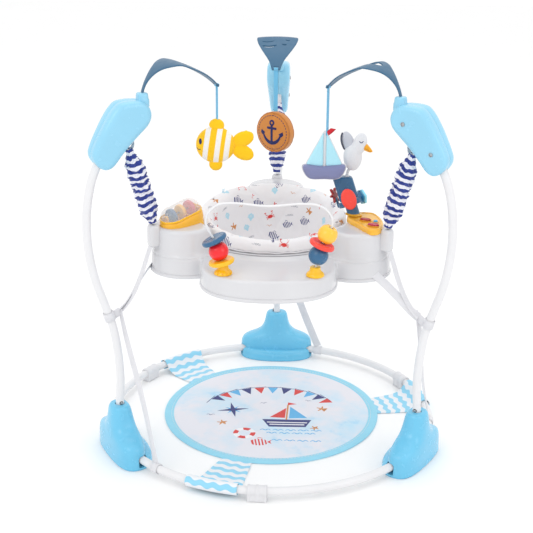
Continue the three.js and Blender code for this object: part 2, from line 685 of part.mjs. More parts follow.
// ---- Front lobe: a wire arch in two stands, with beads on it ----
const ARCH_Y = -275;
const wirePath = new THREE.CatmullRomCurve3([
  [-94, 484], [-96, 500], [-99, 515], [-104, 533], [-112, 555], [-124, 576], [-130, 596], [-123, 617],
  [-104, 633], [-72, 637], [0, 632], [70, 638], [104, 636], [126, 623], [136, 602], [133, 586],
  [124, 569], [115, 550], [109, 530], [105, 512], [103, 498], [102, 484],
].map(([x, z]) => new THREE.Vector3(x, ARCH_Y, z)), false, "catmullrom", 0.5);
const STAND_TOP = 503;
const BEADS = [
  { name: "bead_yellow_disc", height: 507.5, left: true, disc: true, material: "yellow" },
  { name: "bead_red_ball", height: 531, left: true, disc: false, material: "red" },
  { name: "bead_blue_disc", height: 556, left: true, disc: true, material: "blue" },
  { name: "bead_blue_ball", height: 526, left: false, disc: false, material: "blue" },
  { name: "bead_coral_disc", height: 550, left: false, disc: true, material: "coral" },
  { name: "bead_yellow_ball", height: 573, left: false, disc: false, material: "yellow" },
];
const BALL_RADIUS = 21.5;
const BALL_FLAT = 17; // the balls are flattened where they meet their neighbours
const DISC_RADIUS = 28;
const DISC_HALF = 5;
const BORE_RADIUS = 5.2;

function beadRailShape() {
  const wire = tubeAlong(wirePath, 2.5, 0, 6, 34);
  const stand = points2([[0, 0], [20, 0], [19, 5], [13, 10], [11, 17], [12, 20.5], [0, 20.5]]);
  const stands = [-94, 102].map((x) =>
    new THREE.LatheGeometry(stand, 12).rotateX(Math.PI / 2).translate(x, ARCH_Y, TRAY_TOP + GAP));
  return join(wire, ...stands);
}

// The point of the wire at a height, on its left or right upright, and its direction there.
function wireAt(height, left) {
  let low = left ? 0 : 0.7;
  let high = left ? 0.3 : 1;
  const rising = left ? 1 : -1;
  for (let i = 0; i < 30; i += 1) {
    const middle = (low + high) / 2;
    if ((wirePath.getPoint(middle).z - height) * rising > 0) high = middle;
    else low = middle;
  }
  const direction = wirePath.getTangent(low).multiplyScalar(rising);
  return { point: wirePath.getPoint(low), direction };
}

function beadProfile(disc) {
  if (disc) {
    return points2([
      [BORE_RADIUS, -DISC_HALF + 3], [14, -DISC_HALF], [25, -DISC_HALF], [DISC_RADIUS, -2], [DISC_RADIUS, 2],
      [25, DISC_HALF], [14, DISC_HALF], [BORE_RADIUS, DISC_HALF - 3], [BORE_RADIUS, -DISC_HALF + 3],
    ]);
  }
  const start = Math.acos(BALL_FLAT / BALL_RADIUS);
  const profile = [new THREE.Vector2(BORE_RADIUS, -BALL_FLAT)];
  for (let i = 0; i <= 7; i += 1) {
    const angle = start + ((Math.PI - 2 * start) * i) / 7;
    profile.push(new THREE.Vector2(BALL_RADIUS * Math.sin(angle), -BALL_RADIUS * Math.cos(angle)));
  }
  profile.push(new THREE.Vector2(BORE_RADIUS, BALL_FLAT), profile[0].clone());
  return profile;
}

function addBeads() {
  const up = new THREE.Vector3(0, 0, 1);
  for (const bead of BEADS) {
    const { point, direction } = wireAt(bead.height, bead.left);
    const turn = new THREE.Quaternion().setFromUnitVectors(up, direction);
    const matrix = new THREE.Matrix4().compose(point, turn, new THREE.Vector3(1, 1, 1));
    const shape = new THREE.LatheGeometry(beadProfile(bead.disc), 14).rotateX(Math.PI / 2).applyMatrix4(matrix);
    addPart(bead.name, shape, MATERIALS[bead.material]);
  }
}

// ---- Left pod: spinning discs under a clear dome ----
function addDrumToy() {
  const group = new THREE.Group();
  group.position.set(-200, -108, POD_TOP);
  group.rotation.set(0, -10 * DEG, 48.6 * DEG, "ZYX");
  jumper.add(group);
  group.updateMatrixWorld(true);
  const baseTop = 20.5;
  const axleHeight = 27;
  const discRadius = 17;
  const stadium = superellipse(56, 56, 33, 2.6, 20);
  const base = solid(verticalPrism(stadium, -16, baseTop));
  const toWorld = group.matrixWorld;
  const belowPod = new THREE.BoxGeometry(200, 200, 60)
    .translate(-200, -108, POD_TOP + GAP - 30)
    .applyMatrix4(toWorld.clone().invert());
  const trough = new THREE.CylinderGeometry(discRadius + 2, discRadius + 2, 76, 14)
    .rotateZ(Math.PI / 2)
    .translate(0, 0, axleHeight);
  const axle = new THREE.CylinderGeometry(1.6, 1.6, 90, 10).rotateZ(Math.PI / 2).translate(0, 0, axleHeight);
  const posts = [-41, 41].map((x) => new THREE.BoxGeometry(5, 12, 16).translate(x, 0, baseTop + 4));
  const seatRoom = verticalPrism(circlePoints(176.5, 48), 500, 620).applyMatrix4(toWorld.clone().invert());
  const held = cut(base, trough).add(join(axle, ...posts));
  addPart("drum_base", cut(held, belowPod, seatRoom), MATERIALS.yellow, group);

  const capsule = (radius) => new THREE.CapsuleGeometry(radius, 50, 3, 14).rotateZ(Math.PI / 2).translate(0, 0, baseTop);
  const below = new THREE.BoxGeometry(200, 200, 80).translate(0, 0, baseTop + GAP - 40);
  const dome = cut(solid(capsule(29)), capsule(27.2), below);
  addPart("drum_dome", dome, MATERIALS.clear, group);

  const discProfile = points2([[2.1, -5], [13, -5], [discRadius, -2], [discRadius, 2], [13, 5], [2.1, 5], [2.1, -5]]);
  const discs = [["drum_disc_blue", -27, "blue"], ["drum_disc_amber", 0, "amber"], ["drum_disc_pink", 27, "pink"]];
  for (const [name, x, material] of discs) {
    const disc = new THREE.LatheGeometry(discProfile, 14).rotateZ(Math.PI / 2).translate(x, 0, axleHeight);
    addPart(name, disc, MATERIALS[material], group);
  }
}

// ---- Right pod: console with buttons, paddle wheel and post with a bird ----
const CONSOLE_TOP = 552;
const POST_ROOT = new THREE.Vector3(188, -58, CONSOLE_TOP);
const POST_LEAN = 23;
const POST_LEAN_AZIMUTH = 145; // towards the seat
const POST_TOP = 636;
const AXLE_RADIUS = 14; // round foot of the post, inside the paddle wheel
const AXLE_LENGTH = 36;
const GULL_PIVOT = new THREE.Vector3(170, -37, POST_TOP - 1);
const CONSOLE_BUTTONS = [
  { name: "button_red", x: 213, y: -98, rx: 13, ry: 7, material: "darkRed" },
  { name: "button_magenta", x: 229, y: -136, rx: 13, ry: 8, material: "magenta" },
  { name: "button_blue", x: 235, y: -110, rx: 5, ry: 5, material: "blue" },
];

function buttonOutline({ x, y, rx, ry }, spare) {
  return superellipse(rx + spare, rx + spare, ry + spare, 2, 12)
    .map((p) => p.rotateAround(new THREE.Vector2(), -20 * DEG).add(new THREE.Vector2(x, y)));
}

function addConsole() {
  const outline = new THREE.SplineCurve(points2([
    [172, -72], [180, -44], [206, -36], [232, -40], [245, -66], [252, -105], [249, -140], [238, -166],
    [222, -170], [208, -152], [194, -122], [178, -94], [172, -72],
  ])).getPoints(22).slice(0, -1);
  const body = solid(verticalPrism(outline, POD_TOP + GAP, CONSOLE_TOP, 2.5));
  const wells = CONSOLE_BUTTONS.map((button) =>
    verticalPrism(buttonOutline(button, 0.6), CONSOLE_TOP - 7, CONSOLE_TOP + 5));
  addPart("console", cut(body, ...wells), MATERIALS.amber);
  for (const button of CONSOLE_BUTTONS) {
    const cap = verticalPrism(buttonOutline(button, 0), CONSOLE_TOP - 3.5, CONSOLE_TOP + 3.5, 1.2);
    addPart(button.name, cap, MATERIALS[button.material]);
  }
}

function leaningGroup() {
  const group = new THREE.Group();
  group.position.copy(POST_ROOT);
  const axis = new THREE.Vector3(
    Math.cos((POST_LEAN_AZIMUTH + 90) * DEG), Math.sin((POST_LEAN_AZIMUTH + 90) * DEG), 0,
  );
  group.quaternion.setFromAxisAngle(axis, POST_LEAN * DEG);
  jumper.add(group);
  group.updateMatrixWorld(true);
  return group;
}

function addPostAndPaddles() {
  const group = leaningGroup();
  const foot = new THREE.CylinderGeometry(AXLE_RADIUS, AXLE_RADIUS, AXLE_LENGTH + 10, 14)
    .rotateX(Math.PI / 2)
    .translate(0, 0, (AXLE_LENGTH - 10) / 2);
  const slab = new THREE.BoxGeometry(44, 24, 80).translate(0, 0, AXLE_LENGTH + 39);
  const slit = new THREE.BoxGeometry(3, 6, 50).translate(-6, -12, AXLE_LENGTH + 33);
  const outsideHeights = [[CONSOLE_TOP + GAP - 40, 80], [POST_TOP + 40, 80]].map(([z, height]) =>
    new THREE.BoxGeometry(200, 200, height)
      .translate(POST_ROOT.x, POST_ROOT.y, z)
      .applyMatrix4(group.matrixWorld.clone().invert()));
  const socket = new THREE.SphereGeometry(6.9, 12, 8)
    .translate(...GULL_PIVOT)
    .applyMatrix4(group.matrixWorld.clone().invert());
  addPart("post", cut(join(foot, slab), ...outsideHeights, slit, socket), MATERIALS.blue, group);

  const hubProfile = points2([[14.6, 22], [27, 22], [27, 34], [14.6, 34], [14.6, 22]]);
  const hub = new THREE.LatheGeometry(hubProfile, 16).rotateX(Math.PI / 2);
  const star = starPoints(19, 9, 6).map((p) => p.add(new THREE.Vector2(0, 54)));
  const egg = superellipse(17, 17, 24, 2, 14).map((p) => p.add(new THREE.Vector2(0, 38)));
  const hexagon = circlePoints(19, 6, 0, 32);
  const paddles = [[-90, egg], [30, hexagon], [150, star]].flatMap(([azimuth, outline]) => [
    turned(new THREE.BoxGeometry(10, 8, 8).translate(29, 0, 30), azimuth),
    turned(new THREE.BoxGeometry(3, 8, 20).translate(32.5, 0, 38), azimuth),
    turned(radialPrism(outline, 31, 37), azimuth),
  ]);
  addPart("paddle_wheel", join(hub, ...paddles), MATERIALS.coral, group);
}

function starPoints(outer, inner, tips) {
  return Array.from({ length: tips * 2 }, (_, i) => {
    const angle = (Math.PI * i) / tips;
    const radius = i % 2 === 0 ? outer : inner;
    return new THREE.Vector2(radius * Math.cos(angle), radius * Math.sin(angle));
  });
}

// A soft bird: body, head and raised wing with a beak, on a neck that ends in a ball in the post's top.
function gullShape() {
  const [x, y, z] = [181, -38, 683];
  const neck = new THREE.CatmullRomCurve3([
    GULL_PIVOT, new THREE.Vector3(171, -37, 644), new THREE.Vector3(176, -38, 656),
  ]);
  return join(
    ellipsoid(6, 6, 6, GULL_PIVOT.toArray()),
    tubeAlong(neck, 3.4, 0, 8, 3),
    ellipsoid(21, 16, 34, [x, y, z]),
    ellipsoid(16, 13, 26, [x + 16, y - 2, z + 32]),
    ellipsoid(16, 11, 27, [x - 10, y + 2, z + 32]),
    new THREE.ConeGeometry(8, 26, 10).rotateZ(-Math.PI * 0.62).translate(x + 37, y - 4, z + 14),
  );
}

// ---- Hanging toys: each has its ribbon, looped round the bar at an arm's tip ----
const RIBBON_WIDTH = 10;
const BAR = new THREE.Vector2(ARM_TIP.x - 2 * TIP_DIRECTION.x, ARM_TIP.y - 2 * TIP_DIRECTION.y);

function ribbonShape(azimuth, bottom) {
  const loop = ringBand(3.2, 1, RIBBON_WIDTH).rotateX(Math.PI / 2).translate(BAR.x, 0, BAR.y);
  const drop = new THREE.BoxGeometry(1.4, RIBBON_WIDTH, BAR.y - 3.7 - bottom)
    .translate(BAR.x, 0, (BAR.y - 3.7 + bottom) / 2);
  return turned(geometryOf(join(loop, drop)), azimuth);
}

function fishShape() {
  const [x, y] = [-126, -71];
  return join(
    ribbonShape(210, 765),
    ellipsoid(45, 20, 42, [x, y, 712]),
    ellipsoid(17, 9, 14, [x + 3, y, 760]),
    ellipsoid(16, 9, 16, [x, y, 666]),
    ellipsoid(26, 8, 20, [x + 62, y, 724]),
    ellipsoid(26, 8, 20, [x + 62, y, 697]),
  );
}

function boatShape() {
  const [x, y] = [118, -71];
  const hull = points2([[x - 49, 668], [x + 47, 670], [x + 35, 641], [x - 36, 639]]);
  const sail = points2([[x - 2, 749], [x - 43, 667], [x + 41, 669]]);
  const flag = points2([[x + 8, 736], [x + 24, 751], [x + 10, 754], [x + 4, 742]]);
  return join(
    ribbonShape(330, 738),
    crossPrism(hull, y - 16, y + 16, 4),
    crossPrism(sail, y - 9, y + 9, 2),
    crossPrism(flag, y - 2, y + 2),
  );
}

function anchorPadShape() {
  const radius = 50.5;
  const thickness = 28;
  const faceTurn = -34;
  const disc = new THREE.CylinderGeometry(radius, radius, thickness, 24).rotateZ(faceTurn * DEG).translate(0, 141, 696);
  return join(ribbonShape(90, 740), disc);
}

// ---- Assembly ----
addBaseRing();
for (const { side, azimuth, strapTurn, buttonSide, openings } of LEGS) {
  const legGroup = new THREE.Group();
  legGroup.rotation.z = azimuth * DEG;
  jumper.add(legGroup);
  addPart(`foot_${side}`, bootShape(), MATERIALS.boot, legGroup);
  addPart(`leg_${side}`, legShape(buttonSide), MATERIALS.tube, legGroup);
  addPart(`leg_button_${side}`, snapButtonShape(buttonSide), MATERIALS.steel, legGroup);
  addPart(`housing_${side}_a`, housingHalf(1), MATERIALS.housing, legGroup);
  addPart(`housing_${side}_b`, housingHalf(-1), MATERIALS.housing, legGroup);
  addPart(`toy_arm_${side}`, armShape(openings), MATERIALS.arm, legGroup);
  addSuspension(legGroup, side);
  addPart(`strap_${side}`, strapShape(strapTurn), MATERIALS.webbing, legGroup);
}
addPart("play_mat", matShape(), MATERIALS.matFabric);
addPart("tray_top", trayTopShape(), MATERIALS.white);
addPart("tray_bottom", trayBottomShape(), MATERIALS.white);
addPart("seat_ring", seatRingShape(), MATERIALS.white);
addPart("seat_sling", slingShape(), MATERIALS.seatFabric);
addPart("bead_rail", beadRailShape(), MATERIALS.yellow);
addBeads();
addDrumToy();
addConsole();
addPostAndPaddles();
addPart("gull", gullShape(), MATERIALS.plushWhite);
addPart("hanging_fish", fishShape(), MATERIALS.plushYellow);
addPart("hanging_boat", boatShape(), MATERIALS.plushBlue);
addPart("hanging_anchor_pad", anchorPadShape(), MATERIALS.plushTan);

export default jumper;
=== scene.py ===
import json
import math
import random

import bmesh
import bpy
from mathutils import Matrix, Vector, noise
from mathutils.bvhtree import BVHTree


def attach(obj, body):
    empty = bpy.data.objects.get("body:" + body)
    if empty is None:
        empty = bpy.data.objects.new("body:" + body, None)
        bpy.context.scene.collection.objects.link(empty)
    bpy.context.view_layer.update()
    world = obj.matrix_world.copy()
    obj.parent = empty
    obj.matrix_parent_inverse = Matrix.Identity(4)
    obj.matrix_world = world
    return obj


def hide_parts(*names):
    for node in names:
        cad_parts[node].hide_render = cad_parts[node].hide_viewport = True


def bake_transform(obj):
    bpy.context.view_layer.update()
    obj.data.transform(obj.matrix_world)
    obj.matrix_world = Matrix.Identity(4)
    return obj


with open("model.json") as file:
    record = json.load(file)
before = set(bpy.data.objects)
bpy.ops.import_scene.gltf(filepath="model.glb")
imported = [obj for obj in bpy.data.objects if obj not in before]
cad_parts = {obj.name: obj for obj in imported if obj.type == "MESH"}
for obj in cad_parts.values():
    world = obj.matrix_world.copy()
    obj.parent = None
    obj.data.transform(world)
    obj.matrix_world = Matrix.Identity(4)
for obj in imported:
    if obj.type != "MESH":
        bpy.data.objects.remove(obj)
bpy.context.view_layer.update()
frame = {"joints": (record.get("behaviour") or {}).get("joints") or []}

# An activity jumper: a bouncing tray with a fabric seat, hung by sprung bands from three bowed legs.
# Sizes are in millimetres and become metres when a mesh is made. Leg groups are built with x pointing
# outwards along the leg's azimuth, and are then turned round the middle of the ring.
MM = 0.001

# ---- Driving sizes ----
RING_RADIUS = 390
RING_HEIGHT = 22
TUBE_RADIUS = 9.5
LEGS = {
    "left": {"azimuth": 210, "strap_turn": 21, "button_side": 1, "long_slots": -1},
    "right": {"azimuth": 330, "strap_turn": 24, "button_side": -1, "long_slots": 0},
    "rear": {"azimuth": 90, "strap_turn": -17.4, "button_side": 1, "long_slots": 1},
}
JOINER_AZIMUTHS = (30, 148, 268)
TAB_AZIMUTHS = (16, 131.5, 253)


# ---- Small geometry helpers; a shape is a list of points and a list of faces ----
def polar(radius, azimuth, height=0.0):
    turn = math.radians(azimuth)
    return Vector((radius * math.cos(turn), radius * math.sin(turn), height))


def turned(azimuth):
    return Matrix.Rotation(math.radians(azimuth), 4, "Z")


def placed(location, azimuth=0.0, elevation=0.0, roll=0.0):
    """A matrix that rolls about x, lifts the x axis by elevation, turns to the azimuth and then moves."""
    turn = Matrix.Rotation(math.radians(azimuth), 4, "Z")
    lift = Matrix.Rotation(math.radians(-elevation), 4, "Y")
    spin = Matrix.Rotation(math.radians(roll), 4, "X")
    return Matrix.Translation(Vector(location)) @ turn @ lift @ spin


def along_axis(location, axis):
    """A matrix whose z axis points along the given axis."""
    return Matrix.Translation(Vector(location)) @ Vector(axis).to_track_quat("Z", "Y").to_matrix().to_4x4()


def smooth_path(points, count, closed=False):
    """Evenly spaced points on a centripetal Catmull-Rom curve through the given ones."""
    points = [Vector(p) for p in points]
    size = len(points)
    spans = size if closed else size - 1
    fine = []
    for i in range(spans):
        if closed:
            around = [points[(i + k) % size] for k in (-1, 0, 1, 2)]
        else:
            before = points[i - 1] if i > 0 else points[0] * 2 - points[1]
            after = points[i + 2] if i + 2 < size else points[-1] * 2 - points[-2]
            around = [before, points[i], points[i + 1], after]
        knots = [0.0]
        for p, q in zip(around, around[1:]):
            knots.append(knots[-1] + max((q - p).length, 1e-6) ** 0.5)
        for step in range(16):
            t = knots[1] + (knots[2] - knots[1]) * step / 16
            row = around
            for level in (1, 2):
                gaps = [knots[k + level] - knots[k] for k in range(len(row) - 1)]
                row = [(row[k] * (knots[k + level] - t) + row[k + 1] * (t - knots[k])) / gap
                       for k, gap in enumerate(gaps)]
            share = (t - knots[1]) / (knots[2] - knots[1])
            fine.append(row[0].lerp(row[1], share))
    if not closed:
        fine.append(points[-1].copy())
    return resampled(fine, count, closed)


def resampled(points, count, closed=False):
    """The same polyline as evenly spaced points."""
    line = [Vector(p) for p in points]
    if closed:
        line.append(line[0])
    lengths = [0.0]
    for p, q in zip(line, line[1:]):
        lengths.append(lengths[-1] + (q - p).length)
    total = lengths[-1]
    steps = count if closed else count - 1
    result = []
    segment = 0
    for i in range(count):
        target = total * i / steps
        while segment < len(line) - 2 and lengths[segment + 1] < target:
            segment += 1
        span = max(lengths[segment + 1] - lengths[segment], 1e-9)
        result.append(line[segment].lerp(line[segment + 1], min(1.0, (target - lengths[segment]) / span)))
    return result


def lofted(rings, closed=False, capped=True):
    """Rings of equal length joined in order; a closed loft joins the last ring to the first."""
    count = len(rings[0])
    points = [Vector(p) for ring in rings for p in ring]
    faces = []
    spans = len(rings) if closed else len(rings) - 1
    for i in range(spans):
        here = i * count
        there = ((i + 1) % len(rings)) * count
        for j in range(count):
            after = (j + 1) % count
            faces.append((here + j, here + after, there + after, there + j))
    if capped and not closed:
        faces.append(tuple(reversed(range(count))))
        faces.append(tuple(range(len(points) - count, len(points))))
    return points, faces


def lathe(profile, sides=40, closed=False):
    """A profile of (radius, height) points spun round z; an open profile is closed by its end circles."""
    rings = []
    for radius, height in profile:
        rings.append([polar(max(radius, 0.02), 360 * k / sides, height) for k in range(sides)])
    return lofted(rings, closed=closed)


def swept(path, section, ups=None, closed=False):
    """A section of (across, up) points carried along a path; ups turn it, otherwise it never twists."""
    size = len(path)
    rings = []
    up = None
    for i, point in enumerate(path):
        if closed:
            along = (path[(i + 1) % size] - path[i - 1]).normalized()
        else:
            along = (path[min(i + 1, size - 1)] - path[max(i - 1, 0)]).normalized()
        if ups is not None:
            up = Vector(ups[i])
        elif up is None:
            up = Vector((0, 0, 1)) if abs(along.z) < 0.9 else Vector((1, 0, 0))
        side = along.cross(up).normalized()
        up = side.cross(along).normalized()
        ring_section = section(i / max(size - 1, 1)) if callable(section) else section
        rings.append([point + side * a + up * b for a, b in ring_section])
    return lofted(rings, closed=closed)


def circle(radius, sides, centre=(0.0, 0.0)):
    return [(centre[0] + radius * math.cos(2 * math.pi * k / sides),
             centre[1] + radius * math.sin(2 * math.pi * k / sides)) for k in range(sides)]


def rounded_rectangle(width, height, radius, steps=3):
    corners = ((1, 1, 0), (-1, 1, 90), (-1, -1, 180), (1, -1, 270))
    outline = []
    for sx, sy, start in corners:
        for k in range(steps + 1):
            angle = math.radians(start + 90 * k / steps)
            outline.append((
                sx * (width / 2 - radius) + radius * math.cos(angle),
                sy * (height / 2 - radius) + radius * math.sin(angle),
            ))
    return outline


def superellipse(before, after, across, power, count):
    """Half-ellipses with their own reach before and after the middle, squared off by the power."""
    outline = []
    for k in range(count):
        angle = 2 * math.pi * k / count
        c, s = math.cos(angle), math.sin(angle)
        along = before if c < 0 else after
        outline.append((
            along * math.copysign(abs(c) ** (2 / power), c),
            across * math.copysign(abs(s) ** (2 / power), s),
        ))
    return outline


def inset(outline, distance):
    """A counter-clockwise outline moved inwards along its normals."""
    size = len(outline)
    result = []
    for k in range(size):
        before, here, after = outline[k - 1], outline[k], outline[(k + 1) % size]
        along = Vector((after[0] - before[0], after[1] - before[1])).normalized()
        result.append((here[0] - along.y * distance, here[1] + along.x * distance))
    return result


def pillow_levels(low, high, rounding, steps=4):
    """(height, inset) pairs of a slab whose top and bottom edges are rounded."""
    levels = []
    for k in range(steps + 1):
        angle = math.pi / 2 * k / steps
        levels.append((low + rounding * (1 - math.sin(angle)), rounding * (1 - math.cos(angle))))
    levels.reverse()
    upper = [(high - (height - low), gap) for height, gap in reversed(levels)]
    return levels + upper


def slab(outline, low, high, rounding=1.0, steps=3):
    """An outline in x and y raised from low to high with rounded edges."""
    rings = []
    for height, gap in pillow_levels(low, high, rounding, steps):
        rings.append([(x, y, height) for x, y in inset(outline, gap)])
    return lofted(rings)


def moved(shape, matrix):
    points, faces = shape
    return [matrix @ Vector(p) for p in points], faces


def combined(*shapes):
    points, faces = [], []
    for shape_points, shape_faces in shapes:
        start = len(points)
        points.extend(Vector(p) for p in shape_points)
        faces.extend(tuple(start + k for k in face) for face in shape_faces)
    return points, faces


# ---- Objects ----
def add_object(name, shape, smooth_angle=38):
    points, faces = shape
    mesh = bpy.data.meshes.new(name)
    mesh.from_pydata([tuple(Vector(p) * MM) for p in points], [], faces)
    builder = bmesh.new()
    builder.from_mesh(mesh)
    bmesh.ops.recalc_face_normals(builder, faces=builder.faces)
    builder.to_mesh(mesh)
    builder.free()
    if smooth_angle:
        mesh.shade_smooth()
        mesh.set_sharp_from_angle(angle=math.radians(smooth_angle))
    obj = bpy.data.objects.new(name, mesh)
    bpy.context.scene.collection.objects.link(obj)
    return obj


def apply_modifiers(obj, smooth_angle=38):
    """Makes the modifiers part of the mesh."""
    graph = bpy.context.evaluated_depsgraph_get()
    result = bpy.data.meshes.new_from_object(obj.evaluated_get(graph))
    obj.modifiers.clear()
    obj.data = result
    if smooth_angle:
        result.shade_smooth()
        result.set_sharp_from_angle(angle=math.radians(smooth_angle))
    return obj


def carve(obj, shapes, operation="DIFFERENCE", smooth_angle=38, careful=False):
    """Cuts shapes out of an object, or joins them to it; careful also resolves folds inside a shape."""
    tools = []
    for shape in shapes:
        tool = add_object("tool", shape, smooth_angle=0)
        modifier = obj.modifiers.new("carve", "BOOLEAN")
        modifier.operation = operation
        modifier.solver = "EXACT"
        modifier.use_self = careful
        modifier.object = tool
        tools.append(tool)
    apply_modifiers(obj, smooth_angle)
    for tool in tools:
        bpy.data.meshes.remove(tool.data)
    return obj


def subdivided(obj, levels, smooth_angle=60):
    modifier = obj.modifiers.new("smooth", "SUBSURF")
    modifier.levels = levels
    modifier.render_levels = levels
    return apply_modifiers(obj, smooth_angle)


def finish_piece(obj, material, body, replaces=()):
    obj.data.materials.clear()
    obj.data.materials.append(material)
    if body:
        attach(obj, body)
    if replaces:
        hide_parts(*replaces)
    return obj


def piece(name, shape, material, body, replaces=(), smooth_angle=38):
    return finish_piece(add_object(name, shape, smooth_angle), material, body, replaces)


def mark_flat_coordinates(obj, coordinates):
    """Gives each vertex its place on the flat cloth, in metres, for weaves and stripes."""
    attribute = obj.data.attributes.new("flat", "FLOAT_VECTOR", "POINT")
    attribute.data.foreach_set("vector", [value * MM for triple in coordinates for value in triple])


# ---- Materials ----
def colour(red, green, blue):
    """An sRGB colour, 0 to 255, as the linear values that shaders use."""
    def linear(value):
        value /= 255
        return value / 12.92 if value <= 0.04045 else ((value + 0.055) / 1.055) ** 2.4
    return (linear(red), linear(green), linear(blue), 1.0)


class Shader:
    """A material with a Principled shader and short calls that add nodes to it."""

    def __init__(self, name, roughness=0.4):
        self.material = bpy.data.materials.new(name)
        self.material.use_nodes = True
        self.tree = self.material.node_tree
        self.surface = self.tree.nodes["Principled BSDF"]
        self.set("Roughness", roughness)

    def set(self, socket, value):
        if isinstance(value, bpy.types.NodeSocket):
            self.tree.links.new(value, self.surface.inputs[socket])
        else:
            self.surface.inputs[socket].default_value = value

    def node(self, kind, inputs=None, **settings):
        made = self.tree.nodes.new("ShaderNode" + kind)
        for key, value in settings.items():
            setattr(made, key, value)
        for socket, value in (inputs or {}).items():
            if isinstance(value, bpy.types.NodeSocket):
                self.tree.links.new(value, made.inputs[socket])
            else:
                made.inputs[socket].default_value = value
        return made

    def place(self):
        return self.node("TexCoord").outputs["Object"]

    def flat(self):
        return self.node("Attribute", attribute_name="flat").outputs["Vector"]

    def noise(self, scale, detail=2.0, where=None, roughness=0.5):
        inputs = {"Scale": scale, "Detail": detail, "Roughness": roughness, "Vector": where or self.place()}
        return self.node("TexNoise", inputs).outputs["Fac"]

    def math(self, operation, a, b=0.0, c=0.0):
        return self.node("Math", {0: a, 1: b, 2: c}, operation=operation).outputs[0]

    def stretch(self, value, low, high, to_low, to_high):
        inputs = {"Value": value, "From Min": low, "From Max": high, "To Min": to_low, "To Max": to_high}
        return self.node("MapRange", inputs).outputs["Result"]

    def mix(self, factor, a, b):
        return self.node("Mix", {0: factor, 6: a, 7: b}, data_type="RGBA").outputs[2]

    def split(self, vector):
        return self.node("SeparateXYZ", {"Vector": vector}).outputs

    def bump(self, height, strength, distance, before=None):
        inputs = {"Height": height, "Strength": strength, "Distance": distance}
        if before is not None:
            inputs["Normal"] = before
        normal = self.node("Bump", inputs).outputs["Normal"]
        self.set("Normal", normal)
        return normal


def shade(tone, share):
    return (tone[0] * share, tone[1] * share, tone[2] * share, 1.0)


def moulded_plastic(name, tone, roughness=0.3, grain=0.15, coat=0.0, soft=0.0):
    """Injection-moulded plastic: faint flow marks, a fine grain and slightly uneven gloss."""
    shader = Shader(name, roughness)
    cloud = shader.noise(14.0, 3.0)
    shader.set("Base Color", shader.mix(cloud, shade(tone, 0.94), shade(tone, 1.03)))
    shader.set("Roughness", shader.stretch(shader.noise(60.0, 3.0), 0.3, 0.7, roughness * 0.85,
                                           roughness * 1.2))
    flow = shader.bump(shader.noise(9.0, 1.0), 0.12, 0.002)
    shader.bump(shader.noise(900.0, 2.0), grain, 0.0002, before=flow)
    shader.set("Coat Weight", coat)
    shader.set("Coat Roughness", 0.12)
    shader.set("Subsurface Weight", soft)
    shader.set("Subsurface Radius", (0.004, 0.003, 0.003))
    return shader.material


def powder_coat(name, tone):
    """Sprayed enamel on steel tube, with a slight orange-peel surface."""
    shader = Shader(name, 0.3)
    shader.set("Base Color", shader.mix(shader.noise(18.0), shade(tone, 0.96), shade(tone, 1.02)))
    peel = shader.bump(shader.noise(420.0, 2.0), 0.18, 0.0004)
    shader.bump(shader.noise(1600.0, 1.0), 0.08, 0.0001, before=peel)
    shader.set("Coat Weight", 0.35)
    shader.set("Coat Roughness", 0.15)
    return shader.material


def bright_steel(name):
    shader = Shader(name, 0.28)
    shader.set("Metallic", 1.0)
    shader.set("Base Color", shader.mix(shader.noise(300.0), colour(150, 154, 158), colour(196, 199, 202)))
    shader.bump(shader.noise(1200.0, 2.0), 0.1, 0.0001)
    return shader.material


def weave_height(shader, thread):
    """Crossed threads from the flat cloth coordinates; thread is one thread's width in metres."""
    across, along, _ = shader.split(shader.flat())
    rate = math.pi / thread
    warp = shader.math("SINE", shader.math("MULTIPLY", across, rate))
    weft = shader.math("SINE", shader.math("MULTIPLY", along, rate))
    return shader.math("MULTIPLY", warp, weft)


def webbing(name, tone):
    """Woven band: crossed threads, a little fuzz, and colour darkened as painted shade in the weave's low
    points and along both edges.
    """
    shader = Shader(name, 0.8)
    across, _, _ = shader.split(shader.flat())
    threads = weave_height(shader, 0.0011)
    # Darker along both edges of the band: painted shade where the band rounds over.
    edge_shade = shader.stretch(shader.math("ABSOLUTE", across), 0.0085, 0.0098, 1.0, 0.86)
    # The colour follows the weave height and is darker where it is low: painted shade between the threads.
    base = shader.mix(shader.stretch(threads, -1, 1, 0, 1), shade(tone, 0.88), shade(tone, 1.03))
    edge = shader.mix(edge_shade, shade(tone, 0.78), base)
    shader.set("Base Color", edge)
    weave = shader.bump(threads, 0.6, 0.0004)
    shader.bump(shader.noise(1500.0, 3.0), 0.2, 0.0002, before=weave)
    shader.set("Sheen Weight", 0.25)
    shader.set("Sheen Roughness", 0.5)
    return shader.material


def plain_cloth(name, tone, thread=0.0009, mottle=0.05, sheen=0.25, crease=0.25):
    """Woven cloth whose threads come from object coordinates, so it holds on remeshed pieces too."""
    shader = Shader(name, 0.85)
    x, y, z = shader.split(shader.place())
    rate = math.pi / thread
    first = shader.math("SINE", shader.math("MULTIPLY", shader.math("ADD", x, y), rate))
    slope = shader.math("ADD", z, shader.math("SUBTRACT", x, y))
    second = shader.math("SINE", shader.math("MULTIPLY", slope, rate))
    threads = shader.math("MULTIPLY", first, second)
    cloud = shader.noise(30.0, 3.0)
    shader.set("Base Color", shader.mix(cloud, shade(tone, 1 - mottle), shade(tone, 1 + mottle * 0.6)))
    folds = shader.bump(shader.noise(45.0, 3.0), crease, 0.004)
    shader.bump(threads, 0.25, 0.0002, before=folds)
    shader.set("Sheen Weight", sheen)
    shader.set("Sheen Roughness", 0.45)
    return shader.material


